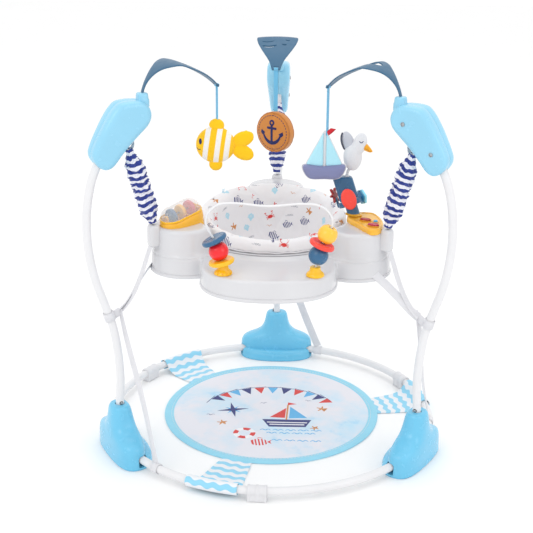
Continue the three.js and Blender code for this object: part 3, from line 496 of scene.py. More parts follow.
def plush_layers(shader, crease=0.3):
    """Short brushed pile: soft creases with fine fuzz over them."""
    folds = shader.bump(shader.noise(50.0, 3.0), crease, 0.003)
    tufts = shader.bump(shader.noise(700.0, 4.0, roughness=0.7), 0.5, 0.0006, before=folds)
    shader.bump(shader.noise(2600.0, 2.0), 0.3, 0.0002, before=tufts)
    shader.set("Sheen Weight", 0.6)
    shader.set("Sheen Roughness", 0.4)


def plush(name, tone, mottle=0.08):
    shader = Shader(name, 0.95)
    fuzz = shader.noise(500.0, 4.0, roughness=0.7)
    shader.set("Base Color", shader.mix(fuzz, shade(tone, 1 - mottle), shade(tone, 1 + mottle)))
    plush_layers(shader)
    return shader.material


def clear_plastic(name, tone):
    shader = Shader(name, 0.08)
    shader.set("Base Color", tone)
    shader.set("IOR", 1.45)
    shader.set("Coat Weight", 0.5)
    shader.bump(shader.noise(25.0), 0.05, 0.001)
    shader.set("Alpha", 0.2)
    return shader.material


MATERIALS = {"tube": powder_coat("white_enamel", colour(228, 228, 230)),
             "steel": bright_steel("steel_wire"),
             "joiner": moulded_plastic("joiner_plastic", colour(222, 222, 225), 0.42, 0.3),
             "boot": moulded_plastic("boot_plastic", colour(107, 194, 230), 0.24, 0.1, coat=0.25),
             "housing": moulded_plastic("housing_plastic", colour(146, 207, 234), 0.24, 0.1, coat=0.2),
             "arm": moulded_plastic("arm_plastic", colour(52, 98, 130), 0.42, 0.35),
             "tray": moulded_plastic("tray_plastic", colour(213, 213, 216), 0.2, 0.06, coat=0.2),
             "yellow": moulded_plastic("yellow_plastic", colour(248, 190, 18), 0.22, 0.06, coat=0.2,
                                       soft=0.05),
             "red": moulded_plastic("red_plastic", colour(240, 22, 34), 0.22, 0.06, coat=0.2),
             "coral": moulded_plastic("coral_plastic", colour(246, 66, 52), 0.24, 0.08, coat=0.15),
             "blue": moulded_plastic("blue_plastic", colour(44, 98, 138), 0.28, 0.12, coat=0.15),
             "sky": moulded_plastic("sky_plastic", colour(70, 172, 226), 0.25, 0.08, coat=0.15),
             "cyan": moulded_plastic("cyan_plastic", colour(140, 222, 246), 0.25, 0.08, coat=0.15),
             "amber": moulded_plastic("amber_plastic", colour(246, 184, 48), 0.22, 0.06, coat=0.2,
                                      soft=0.06),
             "ball_yellow": moulded_plastic("ball_yellow_plastic", colour(252, 196, 62), 0.24, 0.06,
                                            coat=0.2, soft=0.05),
             "pink": moulded_plastic("pink_plastic", colour(222, 96, 112), 0.25, 0.06, coat=0.15),
             "dark_red": moulded_plastic("dark_red_plastic", colour(172, 26, 24), 0.2, 0.06, coat=0.3),
             "magenta": moulded_plastic("magenta_plastic", colour(186, 26, 66), 0.2, 0.06, coat=0.3),
             # Flat dark grey standing in for the darkness in the gaps round the snap buttons and inside the
             # bead bores: painted shade.
             "dark": moulded_plastic("recess_painted_shade", colour(52, 56, 62), 0.5, 0.2),
             "screw": bright_steel("screw_steel"),
             "dome": clear_plastic("dome_clear", (0.93, 0.94, 0.96, 1.0)),
             "webbing": webbing("white_webbing", colour(230, 230, 234)),
             "ribbon": webbing("blue_ribbon", colour(116, 196, 236))}


# ---- Floor, lights and camera ----
def add_floor():
    size = 9000
    corners = [(x, y, -0.5) for x, y in ((-size, -size), (size, -size), (size, size), (-size, size))]
    floor = add_object("floor", (corners, [(0, 1, 2, 3)]), smooth_angle=0)
    shader = Shader("floor_white", 0.7)
    shader.set("Base Color", shader.mix(shader.noise(3.0), (0.93, 0.93, 0.93, 1), (0.95, 0.95, 0.95, 1)))
    floor.data.materials.append(shader.material)


def add_softbox(name, location, target, size, power):
    light = bpy.data.lights.new(name, "AREA")
    light.shape = "DISK"
    light.size = size
    light.energy = power
    obj = bpy.data.objects.new(name, light)
    obj.location = location
    obj.rotation_euler = (Vector(target) - Vector(location)).to_track_quat("-Z", "Y").to_euler()
    bpy.context.scene.collection.objects.link(obj)


def add_lights():
    world = bpy.data.worlds.new("white_studio")
    world.use_nodes = True
    background = world.node_tree.nodes["Background"]
    background.inputs["Color"].default_value = (1, 1, 1, 1)
    background.inputs["Strength"].default_value = 1.06
    bpy.context.scene.world = world
    middle = (0, 0, 0.45)
    add_softbox("key_light", (-1.6, -2.4, 2.6), middle, 1.6, 14)
    add_softbox("fill_light", (2.2, -1.8, 1.7), middle, 1.4, 6)
    add_softbox("top_light", (0.2, 0.6, 3.0), middle, 2.4, 10)


def add_camera():
    """Seen from the front, slightly above, with a very small roll."""
    azimuth, elevation, distance, roll = 2.39, 19.66, 2.6755, 0.43
    target = Vector((-0.0131, -0.0005, 0.4004))
    turn, lift = math.radians(azimuth), math.radians(elevation)
    back = Vector((math.sin(turn) * math.cos(lift), -math.cos(turn) * math.cos(lift), math.sin(lift)))
    camera = bpy.data.cameras.new("camera")
    camera.lens = 75.8
    camera.sensor_width = 36
    camera.clip_start = 0.05
    camera.clip_end = 40
    obj = bpy.data.objects.new("camera", camera)
    facing = (-back).to_track_quat("-Z", "Y").to_matrix().to_4x4()
    obj.matrix_world = Matrix.Translation(target + back * distance) @ facing @ Matrix.Rotation(
        math.radians(roll), 4, "Z")
    bpy.context.scene.collection.objects.link(obj)
    bpy.context.scene.camera = obj
    bpy.context.scene.view_settings.view_transform = "Standard"


add_floor()
add_lights()
add_camera()


# ---- Base ring, joiners and boots ----
def add_ring():
    for i, start in enumerate(JOINER_AZIMUTHS):
        end = JOINER_AZIMUTHS[(i + 1) % 3] + (360 if i == 2 else 0)
        path = [polar(RING_RADIUS, start + 0.1 + (end - start - 0.2) * k / 72, RING_HEIGHT)
                for k in range(73)]
        piece(f"ring_tube_{i + 1}", swept(path, circle(TUBE_RADIUS, 28)), MATERIALS["tube"], "frame",
              [f"base_tube_{i + 1}"])
        add_joiner(i, start)


def joiner_outline(count=44):
    """A round sleeve on a flat foot, seen along the tube."""
    radius, foot = 14.0, 11.5
    outline = [(-foot, -RING_HEIGHT), (foot, -RING_HEIGHT)]
    for k in range(31):
        angle = math.radians(-32 + 244 * k / 30)
        outline.append((radius * math.cos(angle), radius * math.sin(angle)))
    even = resampled([Vector((x, y, 0)) for x, y in outline], count, closed=True)
    return [(p.x, p.y) for p in even]


def add_joiner(index, azimuth):
    """Two tube ends meet inside: rims at both ends, a raised band in the middle and two screw recesses low on
    each side.
    """
    outer = joiner_outline()
    bore = circle(TUBE_RADIUS + 0.6, len(outer))
    start = min(range(len(bore)), key=lambda k: abs(math.atan2(bore[k][1], bore[k][0])
                                                     - math.atan2(outer[0][1], outer[0][0])))
    bore = bore[start:] + bore[:start]
    stations = [(-21.5, 1.4), (-20.9, 0.5), (-19.8, 0.0), (-16.2, 0.0), (-15.4, 0.9), (-3.4, 1.1),
                (-2.6, 0.2), (2.6, 0.2), (3.4, 1.1), (15.4, 0.9), (16.2, 0.0), (19.8, 0.0), (20.9, 0.5),
                (21.5, 1.4)]
    rings = []
    for along, gap in stations:
        rings.append([(RING_RADIUS + x, along, RING_HEIGHT + z) for x, z in inset(outer, gap)])
    for along in (21.5, -21.5):
        rings.append([(RING_RADIUS + x, along, RING_HEIGHT + z) for x, z in bore])
    sleeve = add_object(f"joiner_sleeve_{index + 1}", moved(lofted(rings, closed=True), turned(azimuth)), 30)
    recess = lathe([(0, -1), (2.6, -1), (2.6, 3)], 16)
    holes = []
    for along in (-9.5, 9.5):
        for side in (-1, 1):
            spot = along_axis((RING_RADIUS + side * 13.2, along, RING_HEIGHT - 3), (side, 0, 0))
            holes.append(moved(recess, turned(azimuth) @ spot))
    carve(sleeve, holes, smooth_angle=30)
    finish_piece(sleeve, MATERIALS["joiner"], "frame", [f"joiner_{index + 1}"])


BOOT_LEVELS = [  # height, half length along the ring, inner edge, outer edge
    (0.0, 96.5, 359.0, 427.0), (1.2, 98.0, 357.6, 428.6), (12, 98.4, 357.0, 429.0), (30, 98.2, 357.0, 429.0),
    (42, 97.2, 357.4, 428.8), (49, 94.5, 358.4, 428.2), (55, 89.0, 359.4, 427.6), (59, 82.5, 360.2, 427.0),
    (63, 73.0, 361.0, 426.4), (67, 62.0, 361.8, 426.0), (72, 52.0, 362.8, 425.4), (79, 43.5, 364.2, 424.6),
    (89, 37.0, 366.0, 423.4), (100, 33.2, 368.0, 422.0), (112, 30.6, 370.4, 420.4), (120, 28.8, 372.4, 418.6),
    (125, 26.4, 374.8, 416.2), (127.4, 23.6, 377.6, 413.4), (128, 20.0, 381.0, 410.0),
]


def boot_body():
    levels = smooth_path([Vector((z, half, 0)) for z, half, _, _ in BOOT_LEVELS], 60)
    edges = smooth_path([Vector((z, inner, outer)) for z, _, inner, outer in BOOT_LEVELS], 200)
    rings = []
    for level in levels:
        height, half = level.x, level.y
        near = min(edges, key=lambda edge: abs(edge.x - height))
        middle = (near.y + near.z) / 2
        reach = (near.z - near.y) / 2
        power = 2.9 - 0.5 * min(1, height / 100)
        rings.append([(middle + x, y, height) for x, y in superellipse(reach, reach, half, power, 96)])
    return lofted(rings)


def boot_toe():
    """A low wide skirt round the foot, longer towards the mat."""
    rings = []
    for height, gap in [(0, 1.5), (1.5, 0.3), (6, 0), (14, 0.6), (20, 2.4), (24.5, 6.0), (27, 11.0),
                        (28, 18.0)]:
        outline = superellipse(56 - gap, 38 - gap * 0.4, 100 - gap * 0.5, 2.4, 96)
        rings.append([(391 + x, y, height) for x, y in outline])
    return lofted(rings)


def ring_channel(half_length):
    """The slot through the boot that the ring tube lies in, following the ring's curve."""
    half, top = 12.0, RING_HEIGHT + TUBE_RADIUS + 0.8
    section = [(-half, 6), (half, 6), (half, top - 4), (half - 4, top), (-half + 4, top), (-half, top - 4)]
    rings = []
    for k in range(17):
        angle = math.degrees(half_length / RING_RADIUS) * (k / 8 - 1)
        rings.append([polar(RING_RADIUS + x, angle, z) for x, z in section])
    return lofted(rings)


def leg_centre():
    knots = [(395, 64), (395, 100), (394, 140), (391, 190), (393, 245), (403, 318), (422, 382), (440, 440),
             (451, 500), (454, 555), (450, 610), (439, 660), (424, 696), (406, 728)]
    return smooth_path([Vector((r, 0, z)) for r, z in knots], 130)


def add_boots_and_legs():
    boot = add_object("boot", boot_body())
    carve(boot, [boot_toe()], "UNION")
    collar_bore = moved(lathe([(0, 58), (10.8, 58), (10.8, 140)], 36), Matrix.Translation((395, 0, 0)))
    carve(boot, [ring_channel(118), collar_bore])
    path = leg_centre()
    snap_hole = 132
    for side, leg in LEGS.items():
        turn = turned(leg["azimuth"])
        copy = bpy.data.objects.new(f"boot_{side}", boot.data.copy())
        bpy.context.scene.collection.objects.link(copy)
        copy.data.transform(turn)
        finish_piece(copy, MATERIALS["boot"], "frame", [f"foot_{side}"])
        tube = swept(path, lambda t: circle(leg_radius(path, t), 28), ups=[(0, 1, 0)] * len(path))
        piece(f"leg_tube_{side}", moved(tube, turn), MATERIALS["tube"], "frame",
              [f"leg_{side}"])
        facing = leg["button_side"]
        # A dark ring round the stud where it comes through the tube: painted shade in the gap of the hole.
        ring = lathe([(4.2, 8.2), (4.2, 9.9), (3.6, 10.3), (3.2, 10.3), (3.0, 9.6)], 24)
        stud = lathe([(0, 1), (2.9, 1), (2.9, 10.6), (2.6, 11.5), (1.9, 12.0), (1.0, 12.2), (0, 12.2)], 24)
        spot = turn @ along_axis((394.3, 0, snap_hole), (0, facing, 0))
        piece(f"snap_button_{side}", moved(stud, spot), MATERIALS["steel"], f"leg_button_{side}",
              [f"leg_button_{side}"])
        piece(f"snap_hole_rim_{side}", moved(ring, spot), MATERIALS["dark"], "frame")
    bpy.data.objects.remove(boot)


def leg_radius(path, share):
    """The leg's lower length is a push-fit: a shallow swage line shows just above the snap button."""
    height = path[min(len(path) - 1, round(share * (len(path) - 1)))].z
    if 139 < height < 146:
        return TUBE_RADIUS - 0.8
    return TUBE_RADIUS


add_ring()
add_boots_and_legs()


# ---- Top housings and toy arms ----
HOUSING_OUTLINE = [  # (radius, height), anticlockwise from the inner top corner
    (322, 829), (307, 816), (303, 798), (309, 779), (348, 743), (373, 716), (391, 692), (406, 684),
    (421, 691), (437, 709), (440, 724), (427, 752), (410, 783), (391, 813), (374, 829), (348, 831),
]
HOUSING_HALF_WIDTH = 29.5


def housing_half(sign):
    """Half of a rounded shell: outlines at several depths, smoothed by subdivision."""
    depths = [(0.25, 1.3), (1.2, 0.0), (10, -0.8), (20, -0.4), (26.0, 2.0), (29.3, 7.0), (30.6, 15.0)]
    even = resampled([Vector((r, z, 0)) for r, z in HOUSING_OUTLINE], 32, closed=True)
    outline = [(p.x, p.y) for p in even]
    rings = []
    for depth, gap in depths:
        ring = []
        for r, z in inset(outline, gap):
            narrowing = 1 - 0.0027 * max(0.0, 780 - z)
            ring.append((r, sign * depth * HOUSING_HALF_WIDTH / 30.6 * narrowing, z))
        rings.append(ring)
    return lofted(rings)


def add_housings():
    socket_outline = rounded_rectangle(24, 25, 7, 4)
    boss_rings = []
    for height, gap in [(815, -1.5), (828, -1.5), (832, 0), (838, 0.6), (841.6, 1.2), (843.4, 2.6),
                        (844, 4.6)]:
        boss_rings.append([(317 + x, y, height) for x, y in inset(socket_outline, gap)])
    for side, leg in LEGS.items():
        turn = turned(leg["azimuth"])
        for letter, sign in (("a", 1), ("b", -1)):
            shell = add_object(f"housing_shell_{side}_{letter}", moved(housing_half(sign), turn), 0)
            crease_seam(shell, 32)
            subdivided(shell, 3)
            carve(shell, [moved(leg_bore(), turn)], smooth_angle=50)
            finish_piece(shell, MATERIALS["housing"], "frame", [f"housing_{side}_{letter}"])
            add_housing_screws(f"{side}_{letter}", sign, turn)
        piece(f"arm_socket_{side}", moved(lofted(boss_rings), turn), MATERIALS["housing"], "frame")


def leg_bore():
    path = leg_centre()[-34:]
    return swept(path, circle(TUBE_RADIUS + 0.5, 24), ups=[(0, 1, 0)] * len(path))


def crease_seam(obj, count):
    """Keeps the first ring, where the two halves meet, sharp when the shell is smoothed."""
    crease = obj.data.attributes.new("crease_edge", "FLOAT", "EDGE")
    for edge in obj.data.edges:
        if max(edge.vertices) < count:
            crease.data[edge.index].value = 1.0


def add_housing_screws(label, sign, turn):
    """Two countersunk screws hold the halves, on one face only."""
    if sign > 0:
        return
    for index, (r, z) in enumerate(((338, 792), (404, 735))):
        reach = (HOUSING_HALF_WIDTH + 0.2) * (1 - 0.0027 * max(0.0, 780 - z))
        spot = turn @ along_axis((r, -reach - 0.4, z), (0, -1, 0))
        well = lathe([(4.6, -1.5), (4.6, 0.6), (3.9, 0.8), (3.4, 0.2), (3.3, -0.9), (0, -0.9)], 24)
        piece(f"housing_screw_{label}_{index + 1}", moved(well, spot), MATERIALS["screw"], "frame")


ARM_TIP = (140, 845)
TIP_DIRECTION = Vector((140 - 158, 845 - 862)).normalized()
ARM_STATIONS = [  # radius, height, width of the leaf
    (317, 830, 10), (317, 842, 10.5), (310, 862, 13), (298, 880, 26), (283, 894, 50), (265, 903, 82),
    (245, 906, 100), (222, 898, 94), (200, 888, 78), (179, 877, 58), (158, 862, 34), (140, 845, 20),
]
ARM_THICKNESS = 3.2


def arm_leaf():
    """A thin arched plate with softened edges whose sides droop a little across its width."""
    line = smooth_path([Vector(station) for station in ARM_STATIONS], 96)
    across = [-1, -0.985, -0.93, -0.8, -0.6, -0.4, -0.2, 0, 0.2, 0.4, 0.6, 0.8, 0.93, 0.985, 1]
    rings = []
    for i, station in enumerate(line):
        before, after = line[max(i - 1, 0)], line[min(i + 1, len(line) - 1)]
        normal = Vector((-(after.y - before.y), after.x - before.x)).normalized()
        if normal.y < 0 or (station.y < 850 and station.x > 300 and normal.x < 0):
            normal = -normal
        half = station.z / 2
        droop = 0.055 * half
        ring = []
        for sign in (1, -1):
            for share in (across if sign > 0 else reversed(across)):
                edge_gap = max(0.0, abs(share) * half - (half - 1.4)) / 1.4
                rise = ARM_THICKNESS / 2 * math.sqrt(max(0.05, 1 - min(1, edge_gap) ** 2)) * sign
                rise -= droop * share * share
                ring.append((station.x + normal.x * rise, share * half, station.y + normal.y * rise))
        rings.append(ring)
    return lofted(rings)


def wave_slots(long_side):
    """Curved strokes cut through the leaf, the long ones on the given side."""
    strokes = [(226, 22 * long_side, 31, 3.4), (208, 18 * long_side, 36, 6.2),
               (230, -25 * long_side, 11, 3.2), (212, -17 * long_side, 12, 5.4)]
    shapes = []
    for x, y, length, width in strokes:
        bow = length * 0.15
        steps = 14
        inner, outer = [], []
        for k in range(steps + 1):
            t = k / steps - 0.5
            taper = math.sqrt(max(0.0, 1 - (2 * t) ** 4))
            middle = x - bow * (1 - 4 * t * t)
            inner.append((middle - width / 2 * taper - 0.15, y + t * length))
            outer.append((middle + width / 2 * taper + 0.15, y + t * length))
        shapes.append(lofted([[(px, py, height) for px, py in outer + inner[::-1]] for height in (855, 935)]))
    return shapes


def almond_slot():
    outline = [(235 + x, 6 + y) for x, y in superellipse(36, 33, 21, 1.6, 44)]
    return [lofted([[(x, y, height) for x, y in outline] for height in (850, 935)])]


def tip_slot():
    spot = Vector((ARM_TIP[0] - 6.2 * TIP_DIRECTION.x, 0, ARM_TIP[1] - 6.2 * TIP_DIRECTION.y))
    lean = math.atan2(TIP_DIRECTION.y, TIP_DIRECTION.x)
    outline = rounded_rectangle(4.4, 13, 1.6)
    matrix = Matrix.Translation(spot) @ Matrix.Rotation(-lean, 4, "Y")
    return moved(slab(outline, -8, 8, 0.2), matrix)


def add_arms():
    for side, leg in LEGS.items():
        turn = turned(leg["azimuth"])
        arm = add_object(f"toy_arm_leaf_{side}", arm_leaf())
        slots = wave_slots(leg["long_slots"]) if leg["long_slots"] else almond_slot()
        carve(arm, slots + [tip_slot()], smooth_angle=32)
        arm.data.transform(turn)
        finish_piece(arm, MATERIALS["arm"], "frame", [f"toy_arm_{side}"])


add_housings()
add_arms()


# ---- Springs in gathered fabric sleeves ----
SPRING_TOP = Vector((352, 0, 727))
SPRING_BOTTOM = Vector((300, 0, 551))


def spring_shape(length):
    """A close-wound extension spring with a hook at each end."""
    turns, radius, wire = 22, 11.5, 1.5
    path = []
    for k in range(turns * 18 + 1):
        share = k / (turns * 18)
        opening = min(1.0, min(share, 1 - share) * 14)
        angle = 2 * math.pi * turns * share
        path.append(Vector((radius * opening * math.cos(angle), radius * opening * math.sin(angle),
                            24 + (length - 48) * share)))
    ends = []
    for start, way in ((3, 1), (length - 3, -1)):
        ends.append([Vector((0, 0, start + way * 3.5 * k)) for k in range(6)])
    line = ends[0] + path + ends[1][::-1]
    return swept(line, circle(wire, 8))


def sleeve_radius(height, length):
    """Closed in at both ends, full in the middle."""
    share = height / length
    belly = 19.6 * min(1.0, math.sin(math.pi * min(1, max(0, share * 0.92 + 0.06))) * 1.55)
    return max(8.5, belly)


def add_sleeve(side, length, matrix):
    """Cloth bunched over the spring: ring-like gathers that wander round the tube, striped navy and white."""
    around, along = 88, 190
    seed = {"left": 3.1, "right": 11.7, "rear": 23.9}[side]
    outer, stripes = [], []
    for i in range(along + 1):
        height = 2 + (length - 4) * i / along
        radius = sleeve_radius(height, length)
        ring, marks = [], []
        for k in range(around):
            angle = 2 * math.pi * k / around
            where = Vector((math.cos(angle) * 0.9, math.sin(angle) * 0.9, height * 0.028 + seed))
            wander = noise.noise(where * 1.3) * 16
            gather = math.sin((height + wander) * 2 * math.pi / 12.5 + 1.3 * math.sin(angle * 2 + seed))
            crumple = noise.noise(Vector((where.x * 2.4, where.y * 2.4, where.z * 4.2)))
            bulge = radius + (2.0 * gather + 3.2 * crumple) * min(1, radius / 19)
            sideways = 2.6 * noise.noise(Vector((height * 0.02, seed, 0.3)))
            ring.append(Vector((bulge * math.cos(angle) + sideways, bulge * math.sin(angle), height)))
            marks.append(height + 0.22 * wander + 2.2 * math.sin(angle + height * 0.03 + seed)
                         + 1.6 * crumple)
        outer.append(ring)
        stripes.append(marks)
    inner = []
    for ring in reversed(outer):
        middle = sum(ring, Vector()) / around
        inner.append([middle + (p - middle) * (1 - 1.1 / max((p - middle).length, 2)) for p in ring])
    points, faces = lofted(outer + inner, closed=True)
    sleeve = add_object(f"sleeve_{side}", moved((points, faces), matrix), 70)
    marks = [mark for row in stripes for mark in row] + [mark for row in reversed(stripes) for mark in row]
    mark_flat_coordinates(sleeve, [(k % around * 1.4, mark, 0) for k, mark in enumerate(marks)])
    finish_piece(sleeve, MATERIALS["sleeve"], None, [f"spring_sleeve_{side}"])
    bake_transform(sleeve)


def sleeve_material():
    shader = Shader("striped_sleeve", 0.85)
    _, along, _ = shader.split(shader.flat())
    period = 0.0162
    wave = shader.math("SINE", shader.math("MULTIPLY", along, 2 * math.pi / period))
    edge = shader.math("MULTIPLY", shader.noise(90.0, 1.0), 0.35)
    stripe = shader.stretch(shader.math("ADD", wave, edge), -0.02, 0.12, 0.0, 1.0)
    cloud = shader.noise(90.0, 2.0)
    navy = shader.mix(cloud, colour(26, 42, 118), colour(40, 62, 150))
    white = shader.mix(cloud, colour(222, 222, 232), colour(240, 240, 245))
    shader.set("Base Color", shader.mix(stripe, white, navy))
    folds = shader.bump(shader.noise(120.0, 3.0), 0.35, 0.002)
    shader.bump(shader.noise(1400.0, 2.0), 0.3, 0.0002, before=folds)
    shader.set("Sheen Weight", 0.3)
    shader.set("Sheen Roughness", 0.5)
    return shader.material


MATERIALS["sleeve"] = sleeve_material()


def add_suspension():
    length = (SPRING_TOP - SPRING_BOTTOM).length
    for side, leg in LEGS.items():
        turn = turned(leg["azimuth"])
        lean = turn @ along_axis(SPRING_BOTTOM, SPRING_TOP - SPRING_BOTTOM)
        spring = piece(f"coil_spring_{side}", moved(spring_shape(length), lean), MATERIALS["steel"], None,
                       [f"spring_{side}"])
        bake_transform(spring)
        add_sleeve(side, length, lean)
        add_hanger(side, turn)


# ---- Webbing ----
def strap(name, path, facing, width, body, thickness=1.5, closed=False, material="webbing",
          replaces=()):
    """A woven band along a path; facing gives the way its broad face looks at each point."""
    if not callable(facing):
        fixed = Vector(facing)
        ways = [fixed] * len(path)
    else:
        ways = [facing(i / (len(path) - 1)) for i in range(len(path))]
    section = rounded_rectangle(width, thickness, thickness * 0.45, 2)
    points, faces = swept(path, section, ups=ways, closed=closed)
    band = add_object(name, (points, faces), 50)
    travelled, lengths = 0.0, []
    for i, point in enumerate(path):
        if i:
            travelled += (point - path[i - 1]).length
        lengths.append(travelled)
    weave = [(across * 20 / width, lengths[i], 0) for i in range(len(path)) for across, _ in section]
    mark_flat_coordinates(band, weave)
    return finish_piece(band, MATERIALS[material], body, replaces)


def ring_band(name, matrix, radius, width, body, replaces=(), thickness=1.6):
    """A closed hoop of webbing about the matrix's z axis."""
    half = width / 2
    profile = [(radius, -half), (radius + thickness * 0.8, -half), (radius + thickness, -half + 0.4),
               (radius + thickness, half - 0.4), (radius + thickness * 0.8, half), (radius, half)]
    sides = 40
    hoop = add_object(name, moved(lathe(profile, sides, closed=True), matrix), 50)
    marks = []
    for _, height in profile:
        marks.extend((height * 20 / width, abs(k - sides / 2) * 1.9, 0) for k in range(sides))
    mark_flat_coordinates(hoop, marks)
    return finish_piece(hoop, MATERIALS["webbing"], body, replaces)


def add_hanger(side, turn):
    """The short webbing loop that holds the spring's upper hook under the housing."""
    path = smooth_path([(345, 0, 752), (341, 0, 740), (343, 0, 728), (349, 0, 722), (356, 0, 725),
                        (358, 0, 735), (356, 0, 750)], 30)
    path = [turn @ p for p in path]
    sideways = turn @ Vector((0, 1, 0))
    ways = []
    for i in range(len(path)):
        along = (path[min(i + 1, 29)] - path[max(i - 1, 0)]).normalized()
        ways.append(along.cross(sideways))
    strap(f"hanger_loop_{side}", path, lambda share: ways[round(share * 29)], 15, "frame")


def add_strap_set(side, leg):
    turn = turned(leg["azimuth"])
    loop = turn @ Matrix.Translation((411.5, 0, 348)) @ Matrix.Rotation(math.radians(16), 4, "Y")
    ring_band(f"leg_strap_loop_{side}", loop, TUBE_RADIUS + 1.0, 21, "frame")
    across_gap = [(402, -2, 346), (396, -1, 350), (390, 0, 353), (384, 0, 357)]
    bridge = [turn @ p for p in smooth_path(across_gap, 10)]
    strap(f"strap_bridge_{side}", bridge, turn @ Vector((0, 1, 0)), 20, "frame", thickness=3.0)

    lower = []
    count = 36
    end_height = RING_HEIGHT + TUBE_RADIUS + 3
    for k in range(count + 1):
        share = k / count
        azimuth = leg["azimuth"] + leg["strap_turn"] * share ** 1.1
        belly = -10 * math.sin(math.pi * share)
        sway = 1.5 * math.sin(share * 7)
        lower.append(polar(385 + 4 * share + belly + sway, azimuth, 360 - (360 - end_height) * share))
    twist = math.degrees(0.18 if side == "left" else -0.14)

    def outwards_at(share):
        return polar(1, leg["azimuth"] + leg["strap_turn"] * share + twist * math.sin(share * 5))

    strap(f"lower_strap_{side}", lower, outwards_at, 20, "frame", replaces=[f"strap_{side}"])
    add_stitched_patch(f"junction_stitch_{side}", turn @ Matrix.Translation((381.5, 0, 362)))
    end_azimuth = leg["azimuth"] + leg["strap_turn"]
    ring_loop = turned(end_azimuth) @ Matrix.Translation((RING_RADIUS, 0, RING_HEIGHT)) @ Matrix.Rotation(
        math.radians(90), 4, "X")
    ring_band(f"ring_strap_loop_{side}", ring_loop, TUBE_RADIUS + 0.9, 21, "frame")

    straight = [(386, 0, 356), (373, 0, 366), (352, 0, 393), (331, 0, 436), (317, 0, 474), (306, 0, 503)]
    slanted = [(386, 0, 357), (371, -4, 368), (343, -13, 397), (312, -24, 428), (286, -33, 452),
               (268, -39, 470)]
    for index, (route, lean) in enumerate(((straight, 0.0), (slanted, 0.35))):
        path = [turn @ p for p in smooth_path(route, 30)]
        outwards = turn @ Vector((1, -lean, 0))
        band = strap(f"upper_strap_{side}_{index + 1}", path, outwards, 20, None)
        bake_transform(band)


def add_stitched_patch(name, matrix):
    """A square of box stitching where the three bands are sewn together."""
    threads = []
    half = 7.5
    corners = [(-half, -half), (half, -half), (half, half), (-half, half)]
    rows = list(zip(corners, corners[1:] + corners[:1])) + [(corners[0], corners[2]),
                                                            (corners[1], corners[3])]
    for start, end in rows:
        for k in range(6):
            a = Vector(start).lerp(Vector(end), (k + 0.18) / 6)
            b = Vector(start).lerp(Vector(end), (k + 0.82) / 6)
            path = [Vector((-1.6, p.x, p.y + 2)) for p in (a, a.lerp(b, 0.5), b)]
            path[1].x -= 0.3
            threads.append(swept(path, circle(0.35, 6)))
    piece(name, moved(combined(*threads), matrix), MATERIALS["webbing"], "frame")


def add_straps():
    for side, leg in LEGS.items():
        add_strap_set(side, leg)


add_suspension()
add_straps()


# ---- Play mat ----
MAT_RADIUS = 268
MAT_CENTRE = Vector((0, 32, 0))
MAT_BORDER = 23


def mat_material():
    """Pale printed cloth with watercolour clouds."""
    shader = Shader("printed_mat", 0.75)
    place = shader.place()
    wash = shader.stretch(shader.noise(7.0, 4.0, where=place, roughness=0.6), 0.44, 0.72, 0.0, 1.0)
    deep = shader.stretch(shader.noise(16.0, 5.0, where=place, roughness=0.65), 0.56, 0.7, 0.0, 1.0)
    base = shader.mix(wash, colour(226, 226, 233), colour(188, 222, 240))
    tone = shader.mix(shader.math("MULTIPLY", deep, wash), base, colour(150, 206, 236))
    shader.set("Base Color", tone)
    folds = shader.bump(shader.noise(11.0, 2.0), 0.25, 0.004)
    weave = shader.bump(shader.noise(1300.0, 2.0), 0.25, 0.0002, before=folds)
    shader.bump(shader.noise(70.0, 3.0), 0.12, 0.001, before=weave)
    shader.set("Sheen Weight", 0.15)
    return shader.material


MATERIALS["mat"] = mat_material()
MATERIALS["mat_border"] = plain_cloth("mat_border_cloth", colour(150, 214, 236), mottle=0.06, crease=0.2)


def add_mat():
    """A thin padded disc whose surface dips along the border seam, with a bound edge."""
    around = 160
    inner_edge = MAT_RADIUS - MAT_BORDER
    rows = [(4, 5.0), (50, 5.2), (100, 5.1), (150, 5.3), (190, 5.1), (220, 5.0), (inner_edge - 9, 4.7),
            (inner_edge - 3, 3.9), (inner_edge, 3.2)]
    under = [(inner_edge, 0.0), (200, 0.0), (100, 0.0), (4, 0.0)]
    piece_rings = []
    for radius, height in rows + under:
        ring = []
        for k in range(around):
            angle = 360 * k / around
            lift = 0.7 * noise.noise(polar(radius * 0.012, angle, 1.7)) if height > 3.5 else 0.0
            near_binding = inner_edge - 12 < radius < inner_edge - 1
            pucker = 0.25 * math.sin(math.radians(angle * 36)) if near_binding else 0.0
            ring.append(MAT_CENTRE + polar(radius, angle, height + (lift + pucker if height > 0.5 else 0.0)))
        piece_rings.append(ring)
    mat = piece("play_mat_pad", lofted(piece_rings), MATERIALS["mat"], "frame", ["play_mat"])
    border = []
    profile = [(inner_edge + 0.2, 0.0), (inner_edge + 0.2, 3.1), (inner_edge + 5, 4.0),
               (inner_edge + 12, 4.2), (MAT_RADIUS - 4, 3.8), (MAT_RADIUS - 1.2, 2.9), (MAT_RADIUS, 1.6),
               (MAT_RADIUS - 0.8, 0.3), (MAT_RADIUS - 2, 0.0)]
    for radius, height in profile:
        ring = []
        for k in range(around * 2):
            angle = 180 * k / around
            swell = 0.35 * math.sin(math.radians(angle * 58)) * noise.noise(polar(2, angle, 0.4))
            wrinkle = swell if height > 1 else 0
            ring.append(MAT_CENTRE + polar(radius, angle, height + wrinkle))
        border.append(ring)
    edge = piece("mat_border", lofted(border, closed=True), MATERIALS["mat_border"], "frame")
    add_stitch_ring("mat_stitching", inner_edge + 5.5, 4.15, 190)
    for index, azimuth in enumerate(TAB_AZIMUTHS):
        add_mat_tab(index, azimuth)


